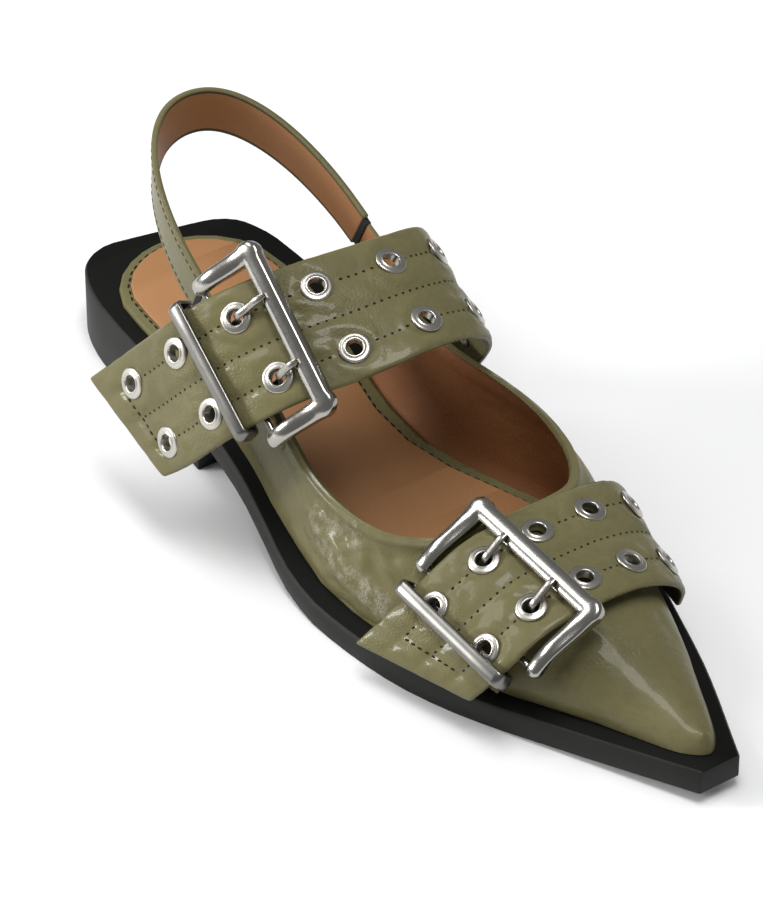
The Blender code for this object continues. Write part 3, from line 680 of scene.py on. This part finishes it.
# middle line of each strap's outer face, and the yaw and pitch of the line across it
vampRows = [
    (203.5, -49.0, 13.5, 17.0, 0.0),
    (210.0, -38.8, 27.8, 6.0, 3.0),
    (211.1, -22.8, 38.0, 1.0, 6.0),
    (211.6, -4.4, 40.6, 1.5, 6.5),
    (210.3, 13.7, 38.4, -3.5, 8.5),
    (208.0, 31.0, 30.5, -8.5, 14.0),
    (200.5, 37.5, 10.5, -10.0, 0.0),
]
instepRows = [
    (84.3, -67.6, 32.5, 0.0, 16.0),
    (93.0, -64.0, 42.0, -3.0, 22.0),
    (108.2, -58.6, 60.0, -4.0, 23.0),
    (121.0, -44.5, 75.0, 3.0, 25.0),
    (129.5, -22.4, 81.7, -2.0, 25.0),
    (131.4, 1.9, 82.4, -6.0, 18.0),
    (125.5, 22.0, 73.0, -2.0, 25.0),
    (112.0, 28.5, 53.0, 0.0, 30.0),
    (98.0, 29.0, 35.0, 0.0, 25.0),
    (87.0, 28.6, 21.5, 0.0, 1.0),
]
# from, to, depth and width of the creases on each flat strap, in run and across
vampCreases = [
    ((36, 3), (47, 9), 0.40, 1.5), ((48, -18), (57, -12), 0.35, 1.4), ((66, 2), (75, 10), 0.40, 1.6),
    ((88, -9), (98, -3), 0.35, 1.5), ((70, -19), (80, -13), 0.35, 1.5), ((104, 4), (112, 10), 0.30, 1.4),
]
instepCreases = [
    ((70, -9), (84, -2), 0.45, 1.7), ((72, 3), (90, 9), 0.50, 1.8), ((96, -9), (108, -1), 0.40, 1.6),
    ((100, 13), (116, 18), 0.40, 1.6), ((122, 2), (136, 9), 0.40, 1.7), ((50, -9), (58, -3), 0.35, 1.4),
    ((30, 2), (40, 8), 0.35, 1.4), ((80, -19), (94, -13), 0.40, 1.5), ((150, -9), (160, -2), 0.30, 1.5),
]
vampFit = {
    "name": "vamp", "margin": 20.5, "pitch": 18.5, "count": 5, "pin": 1, "hinge": 10.0,
    "slide": -3.2, "trim": 0.8, "yaw": 0.0, "keeper": 21.0, "keeperYaw": 5.0,
}
instepFit = {
    "name": "instep", "margin": 13.4, "pitch": 24.0, "count": 8, "pin": 2, "hinge": 11.0,
    "slide": -1.2, "trim": 3.4, "yaw": 8.0, "keeper": 15.5, "keeperYaw": 5.0,
}


def settled(point):
    # lifts a point that is too near to the upper under it
    depth = strapLook["thick"] + strapLook["rest"]
    for _ in range(3):
        near, normal, _, distance = upperTree.find_nearest(point)
        height = (point - near).dot(normal)
        if distance < strapLook["reach"] and height < depth:
            point = point + normal * (depth - height)
    return point


class Strap:
    def __init__(self, rows, fit, creases):
        points = [row[:3] for row in rows]
        self.creases = [((*start, 0.0), (*end, 0.0), *size) for start, end, *size in creases]
        runs = lengthsAlong(points)
        self.centre = natural(runs, points)
        self.turn = natural(runs, [row[3:] for row in rows])
        self.length = float(runs[-1])
        self.fit = fit
        self.eyes = [fit["margin"] + fit["pitch"] * k for k in range(fit["count"])]
        self.rows = (-strapLook["rowOffset"], strapLook["rowOffset"])
        self.laid = self.settle()

    def frame(self, run):
        point = Vector(self.centre(run))
        along = Vector(self.centre(run + 0.5) - self.centre(run - 0.5)).normalized()
        yaw, pitch = (math.radians(v) for v in self.turn(run))
        across = Vector((math.cos(yaw) * math.cos(pitch), math.sin(yaw) * math.cos(pitch), -math.sin(pitch)))
        return point, along, across, across.cross(along).normalized()

    def settle(self):
        width = strapLook["width"]
        table = []
        for run in np.linspace(0.0, self.length, round(self.length / 3.0) + 1):
            point, _, across, _ = self.frame(run)
            table.append([settled(point + across * u) for u in np.linspace(-width / 2, width / 2, 11)])
        table = np.array(table, float)
        for _ in range(4):
            table[1:-1] = (table[:-2] + 2 * table[1:-1] + table[2:]) / 4
            table[:, 1:-1] = (table[:, :-2] + 2 * table[:, 1:-1] + table[:, 2:]) / 4
        return Laid(table, self.length, width)

    def toEyelet(self, run, across):
        return min(math.hypot(run - eye, across - row) for eye in self.eyes for row in self.rows)

    def relief(self, run, across):
        # height of the leather's face over the flat strap
        look = strapLook
        lift = look["swell"] * noise.noise(Vector((run * 0.09, across * 0.12, self.length)))
        lift += look["ripple"] * noise.noise(Vector((run * 0.30, across * 0.20, self.length)))
        nearest = self.toEyelet(run, across)
        line = min(abs(across - line) for line in (*self.rows, 0.0))
        pucker = 0.7 + 0.3 * math.cos(2 * math.pi * run / stitchLook["pitch"])
        lift -= look["dip"] * pucker * hump(line, 0.0, look["dipWidth"])
        lift += look["ringRise"] * hump(nearest, look["ringRiseAt"], look["ringRiseWidth"])
        lift -= look["ringDip"] * hump(nearest, look["ringDipAt"], look["ringDipWidth"])
        lift += creaseDepth(Vector((run, across, 0.0)), self.creases)
        lift *= min(1.0, (min(run, self.length - run) + 1.0) / look["endHold"])
        hem = hump(run, look["hemAt"], look["hemWidth"]) - hump(run, look["hemSeamAt"], look["hemSeamWidth"])
        lift += look["hem"] * hem * (1.0 - 0.6 * (abs(across) / look["width"] * 2) ** 4)
        edge = max(0.0, abs(across) - look["width"] / 2 + look["edgeBand"]) / look["edgeBand"]
        return lift - look["edgeFall"] * edge**2

    def makeBand(self):
        look = strapLook
        bm = flatBand(self.length, look["width"], look["cell"])
        cut = look["holeRadius"] + look["holeCut"]
        spots = [Vector((run, row, 0.0)) for run in self.eyes for row in self.rows]
        for spot in spots:
            inside = [f for f in bm.faces if (f.calc_center_median() - spot).length < cut]
            bmesh.ops.delete(bm, geom=inside, context="FACES")
            for vert in bm.verts:
                offset = vert.co - spot
                if vert.is_boundary and offset.length < look["holeRadius"] + 2 * look["cell"]:
                    vert.co = spot + offset.normalized() * look["holeRadius"]
        thicken(bm, look["thick"])
        rims = [e for e in sharpEdges(bm, 60) if all(self.onBorder(v.co) for v in e.verts)]
        roundEdges(bm, rims, look["edgeRound"], 3)
        keepFlat(bm)
        for vert in bm.verts:
            if vert.co.z > -0.4 * look["thick"]:
                vert.co.z += self.relief(vert.co.x, vert.co.y)
        self.laid.bend(bm)
        name = self.fit["name"] + "_strap"
        toPiece(bm, name + "_leather", [strapLeather], [name], 50)

    def onBorder(self, spot):
        border = strapLook["width"] / 2 - abs(spot.y)
        return min(border, spot.x, self.length - spot.x) < 0.01

    def makeStitches(self):
        look = stitchLook
        bm = bmesh.new()
        low, high = look["start"], self.length - look["stop"]
        for line in (*self.rows, 0.0):
            for k in range(int((high - low) / look["pitch"])):
                self.addStitch(bm, low + (k + 0.5) * look["pitch"], line, 0.0)
        for k in range(int(2 * self.rows[1] / look["pitch"])):
            self.addStitch(bm, low - look["hemBack"], self.rows[0] + (k + 0.7) * look["pitch"], 90.0)
        self.laid.bend(bm)
        toPiece(bm, self.fit["name"] + "_strap_stitches", [darkThread], [], 80)

    def addStitch(self, bm, run, across, turn):
        look = stitchLook
        if self.toEyelet(run, across) < look["eyeletClear"]:
            return
        skew = math.radians(turn + look["skew"] * noise.noise(Vector((run, across, 3.0))))
        place = Matrix.Translation((run, across, self.relief(run, across) + look["lift"]))
        size = Matrix.Diagonal((look["length"] / 2, look["width"], look["height"], 1.0))
        addThread(bm, place @ Matrix.Rotation(skew, 4, "Z") @ size)


# Eyelets

# radius and height of the turned profile, from the bore round the rim and back
eyeletProfile = [
    (2.40, -2.3), (2.40, 0.20), (2.48, 0.46), (2.66, 0.62), (2.88, 0.64), (3.05, 0.56), (3.20, 0.44),
    (3.80, 0.42), (4.30, 0.34), (4.62, 0.18), (4.72, 0.0), (4.70, -0.30), (3.20, -0.30), (3.20, -2.3),
]


def makeEyelets(strap):
    bm = bmesh.new()
    profile = [bm.verts.new((radius, 0.0, height)) for radius, height in eyeletProfile]
    edges = [bm.edges.new((profile[k - 1], profile[k])) for k in range(len(profile))]
    bmesh.ops.spin(
        bm, geom=profile + edges, cent=(0, 0, 0), axis=(0, 0, 1), angle=2 * math.pi, steps=28, use_merge=True
    )
    bmesh.ops.remove_doubles(bm, verts=bm.verts, dist=0.001)
    bmesh.ops.recalc_face_normals(bm, faces=bm.faces)
    pattern = bm.copy()
    bm.clear()
    mesh = bpy.data.meshes.new("eyelet")
    pattern.to_mesh(mesh)
    pattern.free()
    name = strap.fit["name"]
    nodes = []
    for label, row in zip(("rear", "front"), strap.rows):
        for k, run in enumerate(strap.eyes):
            start = len(bm.verts)
            bm.from_mesh(mesh)
            bm.verts.ensure_lookup_table()
            bmesh.ops.transform(bm, matrix=strap.laid.stand(run, row, 0.2), verts=bm.verts[start:])
            nodes.append(f"{name}_eyelet_{label}_{k + 1}")
    bpy.data.meshes.remove(mesh)
    toPiece(bm, name + "_eyelets", [eyeletMetal], nodes, 50)


# Buckles

buckleLook = {
    "width": 50.5, "length": 22.5, "corner": 3.3, "outerRound": 2.6, "soft": 0.36, "crown": 0.30,
    "bar": 1.0, "hingeGap": 0.7, "step": 2.0, "overStrap": 4.2, "tipBack": 2.0, "tipLength": 2.2,
    "prong": 0.9, "prongReach": -0.6, "prongWide": 1.3, "prongHigh": 0.75,
    "keeperWidth": 47.0, "keeperThick": 1.7, "keeperBroad": 2.2, "keeperCrown": 0.5, "keeperSoft": 0.25,
    "keeperBend": 1.6, "keeperOver": 2.0, "keeperUnder": 0.4,
}
# half width and half height of a leg, at its tip, at 3 and 9 mm and at the far bar
legSizes = [(2.35, 1.5), (2.5, 1.7), (2.65, 1.9), (3.0, 2.1)]


class Buckle:
    def __init__(self, strap):
        fit = strap.fit
        self.strap = strap
        self.name = fit["name"]
        self.pin = strap.eyes[fit["pin"]]
        hinge = self.pin - fit["hinge"]
        point, _, self.across, out = strap.frame(hinge)
        sink = strapLook["thick"] + buckleLook["hingeGap"] + buckleLook["bar"]
        self.hinge = point - out * sink
        far, _, _, farOut = strap.frame(hinge + buckleLook["length"])
        along = far + farOut * buckleLook["overStrap"] - self.hinge
        drift = along.dot(self.across)
        self.hinge += self.across * (drift / 2)
        along = along - self.across * drift
        self.reach = along.length
        self.along = along.normalized()
        self.out = self.across.cross(self.along)
        self.settle(fit["slide"], fit["trim"], fit["yaw"])

    def settle(self, slide, trim, yaw):
        # slides the frame down the strap, turns it and shortens its legs
        middle = self.hinge + self.along * (self.reach / 2 + slide)
        axes = Matrix((self.along, self.across, self.out)).transposed()
        axes = axes @ Matrix.Rotation(math.radians(yaw), 3, "Z")
        self.along, self.across, self.out = (axes.col[k].copy() for k in range(3))
        before = self.hinge
        self.hinge = middle - self.along * (self.reach / 2 - trim)
        self.reach -= trim
        self.moved = self.hinge - before

    def spot(self, along, across, out):
        return self.hinge + self.along * along + self.across * across + self.out * out

    def local(self, point):
        offset = point - self.hinge
        return offset.dot(self.along), offset.dot(self.across), offset.dot(self.out)

    def makeFrame(self):
        look = buckleLook
        half, corner, step, tipBack = (look[k] for k in ("width", "corner", "step", "tipBack"))
        half /= 2
        # along, across, out, half width and half height of one leg, from its round tip
        sizes = natural([-tipBack, 3.0, 9.0, self.reach], legSizes)
        rise = natural(
            [-tipBack, 1.0, 4.0, self.reach * 0.5, self.reach - corner, self.reach],
            [[step * 0.55], [step * 0.8], [step], [step * 0.55], [0.0], [0.0]],
        )
        side = []
        for share in (0.02, 0.12, 0.32, 0.62, 1.0):
            along = -tipBack + look["tipLength"] * share
            tip = math.sqrt(1 - (1 - share) ** 2)
            side.append((along, half, float(rise(along)[0]), *(sizes(along) * tip)))
        wide, high = sizes(self.reach)
        for along in np.linspace(2.0, self.reach - corner - 0.8, 8):
            side.append((along, half, float(rise(along)[0]), *sizes(along)))
        for turn in (0, 14, 24, 30, 36, 41, 45, 49, 54, 60, 66, 76, 90):
            a = math.radians(turn)
            outer = cornerReach(a, corner + wide, look["outerRound"])
            reach = (outer + corner - wide) / 2
            along = self.reach - corner + reach * math.sin(a)
            side.append((along, half - corner + reach * math.cos(a), 0.0, (outer - corner + wide) / 2, high))
        for share in (0.66, 0.33):
            side.append((self.reach, (half - corner) * share, 0.0, wide, high))
        other = [(a, -c, h, w, t) for a, c, h, w, t in reversed(side)]
        loop = side + [(self.reach, 0.0, 0.0, *sizes(self.reach))] + other
        path = [self.spot(*row[:3]) for row in loop]
        last = len(path) - 1
        places = []
        for k, row in enumerate(loop):
            along = path[min(k + 1, last)] - path[max(k - 1, 0)]
            places.append(standAt(path[k], along, self.out, float(row[3]), float(row[4])))
        bm = bmesh.new()
        runSection(bm, places, flatBar(look["soft"], look["crown"], 5), False)
        ends = [self.spot(0.0, c, 0.0) for c in np.linspace(0.8 - half, half - 0.8, 5)]
        bar = [standAt(end, self.across, self.out, look["bar"], look["bar"]) for end in ends]
        runSection(bm, bar, squircle(12, 2.0), False)
        bmesh.ops.recalc_face_normals(bm, faces=bm.faces)
        toPiece(bm, self.name + "_buckle_frame", [buckleMetal], [self.name + "_buckle"], 60)

    def makeProngs(self):
        look = buckleLook
        bm = bmesh.new()
        for row in self.strap.rows:
            eye = self.strap.laid.stand(self.pin, row)
            start = self.local(eye @ Vector((0.0, -0.5, -strapLook["thick"] - 1.6)))
            mouth = self.local(eye @ Vector((0.0, 0.3, 0.4)))
            curl = look["bar"] + 0.3 + look["prong"]
            points = []
            for turn in (190, 215, 240, 265):
                a = math.radians(turn)
                points.append((curl * math.cos(a), start[1], curl * math.sin(a)))
            points.append((start[0] * 0.55, start[1], min(-curl * 0.9, start[2] - 0.6)))
            over = 2.0 + 0.2 + look["prong"] * 0.8
            rest = self.reach - 2.2
            points += [start, mouth]
            for share in (0.4, 0.75):
                height = mouth[2] + (over + 0.2 - mouth[2]) * (1 - (1 - share) ** 1.6)
                points.append((mouth[0] + (rest - mouth[0]) * share, mouth[1], height))
            points.append((rest, mouth[1], over + 0.15))
            points.append((self.reach + look["prongReach"], mouth[1], over - 0.15))
            knots = lengthsAlong(points)
            curve = natural(knots, points)
            path = [self.spot(*map(float, curve(k))) for k in np.linspace(0.0, knots[-1], 36)]
            places = []
            for k, point in enumerate(path):
                along = path[min(k + 1, len(path) - 1)] - path[max(k - 1, 0)]
                slim = 1.0 - 0.35 * max(0.0, (k - 31) / 4) ** 2
                wide, high = (look["prong"] * look[k] * slim for k in ("prongWide", "prongHigh"))
                places.append(standAt(point, along, self.out, wide, high))
            runSection(bm, places, squircle(12, 3.4), False)
        bmesh.ops.recalc_face_normals(bm, faces=bm.faces)
        nodes = [f"{self.name}_prong_{label}" for label in ("rear", "front")]
        toPiece(bm, self.name + "_prongs", [prongMetal], nodes, 60)

    def makeKeeper(self):
        look = buckleLook
        run = self.pin - self.strap.fit["keeper"]
        _, along, across, out = self.strap.frame(run)
        lean = math.radians(self.strap.fit["keeperYaw"])
        across = (across * math.cos(lean) - along * math.sin(lean)).normalized()
        out = across.cross(along).normalized()
        face = self.strap.laid.place(np.array([[run, 0.0, 0.0]]))[0]
        centre = Vector(face) - out * (strapLook["thick"] / 2)
        half = look["keeperWidth"] / 2 - look["keeperThick"] * 0.6
        top = look["keeperOver"] + look["keeperThick"] / 2
        low = look["keeperUnder"] + look["keeperThick"] / 2
        rise = (top + low + strapLook["thick"]) / 2
        centre += out * ((top - low) / 2)
        bend = look["keeperBend"]
        flat = [(half * 0.5, rise)]
        for turn in np.linspace(90, 0, 6):
            a = math.radians(turn)
            flat.append((half - bend + bend * math.cos(a), rise - bend + bend * math.sin(a)))
        ring = [(0.0, rise)] + flat + [(c, -h) for c, h in reversed(flat)] + [(0.0, -rise)]
        ring += [(-c, -h) for c, h in flat] + [(-c, h) for c, h in reversed(flat)]
        path = [centre + across * c + out * h for c, h in ring]
        places = []
        for k, (c, h) in enumerate(ring):
            outC = max(0.0, abs(c) - (half - bend)) * (1 if c > 0 else -1)
            outH = max(0.0, abs(h) - (rise - bend)) * (1 if h > 0 else -1)
            along = path[(k + 1) % len(path)] - path[k - 1]
            upward = (across * outC + out * outH).normalized()
            places.append(standAt(path[k], along, upward, look["keeperBroad"], look["keeperThick"] / 2))
        bm = bmesh.new()
        runSection(bm, places, flatBar(look["keeperSoft"], look["keeperCrown"], 3), True)
        bmesh.ops.recalc_face_normals(bm, faces=bm.faces)
        toPiece(bm, self.name + "_keeper_bar", [keeperMetal], [self.name + "_keeper"], 50)


straps = {}
for rows, fit, creases in ((vampRows, vampFit, vampCreases), (instepRows, instepFit, instepCreases)):
    strap = Strap(rows, fit, creases)
    straps[fit["name"]] = strap
    strap.makeBand()
    strap.makeStitches()
    makeEyelets(strap)
    buckle = Buckle(strap)
    strap.buckle = buckle
    buckle.makeFrame()
    buckle.makeProngs()
    buckle.makeKeeper()


# Heel band

slingLook = {
    "back": 21.4, "front": 78.3, "lateral": -34.0, "medial": 25.6, "power": 0.9,
    "topBack": 91.8, "topFront": 64.0, "turn": 88.0,
    "width": 15.0, "thick": 2.0, "cell": 1.25, "edgeRound": 0.55, "paintBorder": 0.4,
    "seam": 1.7, "seamDent": 0.16, "seamWidth": 0.8,
    "pitch": 2.6, "stitch": (0.95, 0.26, 0.22), "stitchSink": 0.08,
}


def slingTop(turn):
    look = slingLook
    a = math.radians(turn)
    half = (look["medial"] - look["lateral"]) / 2
    x = look["front"] - (look["front"] - look["back"]) * abs(math.cos(a)) ** look["power"]
    y = (look["medial"] + look["lateral"]) / 2 + math.copysign(half, a) * abs(math.sin(a)) ** look["power"]
    share = (x - look["back"]) / (look["front"] - look["back"])
    return Vector((x, y, look["topBack"] + (look["topFront"] - look["topBack"]) * share))


def makeSling():
    look = slingLook
    turns = np.linspace(-look["turn"], look["turn"], 241)
    edge = np.array([slingTop(t) for t in turns])
    edge[1:-1] = (edge[:-2] + 2 * edge[1:-1] + edge[2:]) / 4
    runs = lengthsAlong(edge)
    steps = np.linspace(0.0, runs[-1], 61)
    line = np.array([np.interp(steps, runs, edge[:, k]) for k in range(3)]).T
    for _ in range(6):
        line[1:-1] = (line[:-2] + 2 * line[1:-1] + line[2:]) / 4
    along = np.gradient(line, axis=0)
    along /= np.linalg.norm(along, axis=1)[:, None]
    down = along * along[:, 2:] - np.array(up)
    down /= np.linalg.norm(down, axis=1)[:, None]
    # across runs from the lower edge to the upper, so that the face looks away from the heel
    table = np.array([line + down * (look["width"] * s) for s in np.linspace(1.0, 0.0, 7)])
    laid = Laid(table.transpose(1, 0, 2), float(runs[-1]), look["width"])
    bm = flatBand(laid.length, look["width"], look["cell"])
    thicken(bm, look["thick"])
    roundEdges(bm, sharpEdges(bm, 60), look["edgeRound"], 2)
    keepFlat(bm)
    for face in bm.faces:
        middle = face.calc_center_median()
        if middle.z < -look["thick"] + 0.02:
            border = look["width"] / 2 - abs(middle.y)
            face.material_index = 1 if border > look["edgeRound"] + look["paintBorder"] else 2
    for vert in bm.verts:
        seam = look["width"] / 2 - look["seam"] - abs(vert.co.y)
        dent = look["seamDent"] * hump(seam, 0.0, look["seamWidth"])
        vert.co.z -= dent if vert.co.z > -look["thick"] / 2 else -0.5 * dent
    laid.bend(bm)
    toPiece(bm, "sling_leather", [strapLeather, slingTan, edgePaint], ["sling_strap"], 50)
    bm = bmesh.new()
    size = Matrix.Diagonal((*look["stitch"], 1.0))
    for across in (-look["width"] / 2 + look["seam"], look["width"] / 2 - look["seam"]):
        for k in range(int(laid.length / look["pitch"])):
            place = Matrix.Translation(((k + 0.5) * look["pitch"], across, -look["stitchSink"]))
            addThread(bm, place @ size)
    laid.bend(bm)
    toPiece(bm, "sling_stitches", [oliveThread], [], 80)
    return laid


sling = makeSling()


# Tabs that carry the heel band, lined with tan, and the elastic in each joint

tabLook = {"lap": 4.0, "width": 12.4, "thick": 1.8, "round": 0.25, "heelMiddle": (60.0, -4.0, 60.0)}


def makeTab(label, end):
    look = tabLook
    node = "sling_tab_" + label
    bm = cadCopy(node)
    toQuads(bm)
    roundEdges(bm, sharpEdges(bm, 50), look["round"], 2)
    middle = Vector(look["heelMiddle"])
    for face in bm.faces:
        toward = middle - face.calc_center_median()
        toward.z = 0.0
        face.material_index = 1 if face.normal.dot(toward.normalized()) > 0.6 else 0
    toPiece(bm, node + "_leather", [strapLeather, slingTan], [node], 50)
    bm = bmesh.new()
    bmesh.ops.create_cube(bm, size=1.0)
    bmesh.ops.scale(bm, vec=(look["lap"], look["width"], look["thick"]), verts=bm.verts)
    lengthways = [e for e in bm.edges if abs((e.verts[0].co - e.verts[1].co).x) > 1]
    bmesh.ops.subdivide_edges(bm, edges=lengthways, cuts=6)
    roundEdges(bm, sharpEdges(bm, 50), look["round"], 2)
    bmesh.ops.translate(bm, vec=(end, 0.0, -slingLook["thick"] / 2), verts=bm.verts)
    sling.bend(bm)
    toPiece(bm, "sling_elastic_" + label, [blackElastic], [], 50)


makeTab("lateral", 0.0)
makeTab("medial", sling.length)


# Pieces that keep their cut and get rounded edges

def makeRounded(name, node, finishes, offset):
    bm = cadCopy(node)
    toQuads(bm)
    roundEdges(bm, sharpEdges(bm, 50), offset, 2)
    bm.normal_update()
    # upward faces take the last finish; on the outsole that is the painted shade of its top faces
    for face in bm.faces:
        face.material_index = len(finishes) - 1 if face.normal.z > 0.75 else 0
    toPiece(bm, name, finishes, [node], 50)


makeRounded("outsole_rubber", "outsole", [soleRubber, soleTopPaintedShade], 0.35)
makeRounded("sock_sheet", "sock", [sockTan], 0.15)


insoleLook = {
    "spread": 1.7, "spreadFrom": 84.0, "spreadTo": 236.0, "spreadFade": 12.0, "round": 0.3,
    "seam": 1.15, "pitch": 3.2, "stitch": (0.32, 0.22, 1.1), "stitchLift": 0.05,
}


def makeInsole():
    # the wrapped edge spreads to the lining where the upper stands beside it
    look = insoleLook
    bm = cadCopy("insole")
    toQuads(bm)
    for vert in bm.verts:
        inside = min(vert.co.x - look["spreadFrom"], look["spreadTo"] - vert.co.x) / look["spreadFade"]
        side = Vector((0.0, math.copysign(1.0, vert.normal.y), 0.0)) * min(1.0, abs(vert.normal.y) * 1.5)
        vert.co += side * (look["spread"] * max(0.0, min(1.0, inside)))
    roundEdges(bm, sharpEdges(bm, 50), look["round"], 2)
    toPiece(bm, "insole_wrap", [upperLeather], ["insole"], 50)


def outlineOf(bm):
    # border of the upward faces in walking order, from the same edge each run
    edge, *others = (e for e in bm.edges if sum(f.normal.z > 0.8 for f in e.link_faces) == 1)
    border = set(others)
    first, vert = edge.verts
    spots = [first.co.copy(), vert.co.copy()]
    while True:
        ahead = [e for e in vert.link_edges if e in border]
        if not ahead:
            return spots
        border.discard(ahead[0])
        vert = ahead[0].other_vert(vert)
        spots.append(vert.co.copy())


def makeSockSeam():
    look = insoleLook
    bm = cadCopy("sock")
    spots = outlineOf(bm)
    bm.free()
    bed = cadCopy("insole")
    tree = BVHTree.FromBMesh(bed)
    bed.free()
    runs = lengthsAlong(spots)
    middle = Vector(np.mean([tuple(p) for p in spots], axis=0))
    columns = np.array([tuple(p) for p in spots]).T
    size = Matrix.Diagonal((*look["stitch"], 1.0))
    bm = bmesh.new()
    for run in np.arange(0.0, runs[-1], look["pitch"]):
        point, ahead = (
            Vector([float(np.interp(r, runs, column)) for column in columns]) for r in (run, run + 0.5)
        )
        along = ahead - point
        if along.length < 0.1:
            continue
        away = along.cross(up).normalized()
        if away.dot(point - middle) < 0:
            away = -away
        point += away * look["seam"]
        below = tree.ray_cast(point + up * 3.0, -up)[0]
        if below is None:
            continue
        addThread(bm, standAt(below + up * look["stitchLift"], along, up) @ size)
    toPiece(bm, "sock_stitches", [darkThread], [], 80)


chapeLook = {"lies": 1.9, "free": 4.5, "sink": 1.75, "follow": 12.0}


def makeChape(strap):
    # the loop that holds the hinge rises out of the upper's own leather
    look = chapeLook
    name = strap.fit["name"]
    bm = cadCopy(name + "_chape")
    toQuads(bm)
    bmesh.ops.subdivide_edges(bm, edges=bm.edges[:], cuts=1, use_grid_fill=True)
    for vert in bm.verts:
        near, normal, _, distance = upperTree.find_nearest(vert.co)
        share = (look["free"] - distance) / (look["free"] - look["lies"])
        share = max(0.0, min(1.0, share))
        vert.co -= normal * (look["sink"] * share * share * (3 - 2 * share))
        offset = vert.co - strap.buckle.hinge + strap.buckle.moved
        offset -= strap.buckle.across * offset.dot(strap.buckle.across)
        vert.co += strap.buckle.moved * max(0.0, 1.0 - offset.length / look["follow"])
    toPiece(bm, name + "_chape_leather", [strapLeather], [name + "_chape"], 60)


makeInsole()
makeSockSeam()
for strap in straps.values():
    makeChape(strap)


# Floor, light and camera

floorLook = {"size": 6.0, "tone": (0.66, 0.66, 0.66)}


def makeFloor():
    bm = bmesh.new()
    bmesh.ops.create_grid(bm, x_segments=8, y_segments=8, size=floorLook["size"])
    mesh = bpy.data.meshes.new("floor")
    bm.to_mesh(mesh)
    bm.free()
    finish = Finish("floorPaper", Roughness=0.9)
    paper = finish.speckle(finish.objectPlace(), 40.0, 2.0)
    tone = floorLook["tone"]
    finish.feed(Base_Color=finish.colours(paper, tone, [v + 0.01 for v in tone]))
    mesh.materials.append(finish.material)
    floor = bpy.data.objects.new("floor", mesh)
    bpy.context.scene.collection.objects.link(floor)


def makeLight(name, place, aim, size, power, mirrored=True):
    light = bpy.data.lights.new(name, "AREA")
    light.shape = "RECTANGLE"
    light.size, light.size_y = size
    light.energy = power
    lamp = bpy.data.objects.new(name, light)
    lamp.location = place
    lamp.rotation_euler = (Vector(aim) - Vector(place)).to_track_quat("-Z", "Y").to_euler()
    lamp.visible_glossy = mirrored  # a fill light leaves no sheen
    bpy.context.scene.collection.objects.link(lamp)


studioLook = {"Color": (0.80, 0.81, 0.83, 1.0), "Strength": 0.28}
cameraLook = {"place": (1.0287, -0.6609, 0.9333), "aim": (0.0965, -0.0125, 0.030), "lens": 196.0}


def makeCamera():
    data = bpy.data.cameras.new("camera")
    data.lens = cameraLook["lens"]
    data.clip_start = 0.05
    data.clip_end = 50.0
    camera = bpy.data.objects.new("camera", data)
    camera.location = cameraLook["place"]
    look = Vector(cameraLook["aim"]) - camera.location
    camera.rotation_euler = look.to_track_quat("-Z", "Y").to_euler()
    bpy.context.scene.collection.objects.link(camera)
    bpy.context.scene.camera = camera


makeFloor()
bpy.context.scene.view_settings.view_transform = "Standard"
world = bpy.data.worlds.new("studio")
bpy.context.scene.world = world
world.use_nodes = True
for socket, value in studioLook.items():
    world.node_tree.nodes["Background"].inputs[socket].default_value = value
makeLight("overhead", (0.36, -0.14, 1.6), (0.24, -0.12, 0.0), (0.42, 0.85), 16.0)
makeLight("sky", (0.10, 0.0, 2.3), (0.09, 0.0, 0.0), (2.4, 2.4), 21.0, mirrored=False)
makeLight("backLeft", (-0.88, -0.78, 1.36), (0.1, 0.0, 0.05), (0.8, 0.4), 8.0)
makeLight("lowLeft", (-0.85, -1.33, 0.58), (0.1, 0.0, 0.05), (0.30, 0.40), 18.0)
makeLight("side", (-0.45, -1.5, 0.5), (0.1, 0.0, 0.03), (0.8, 0.5), 13.0, mirrored=False)
makeLight("front", (1.5, -0.5, 1.1), (0.1, 0.0, 0.05), (0.9, 0.7), 1.5, mirrored=False)
makeLight("right", (0.1, 1.5, 1.0), (0.1, 0.0, 0.05), (0.9, 0.7), 7.0, mirrored=False)
makeCamera()
print("floor, light and camera set")

bpy.context.view_layer.update()
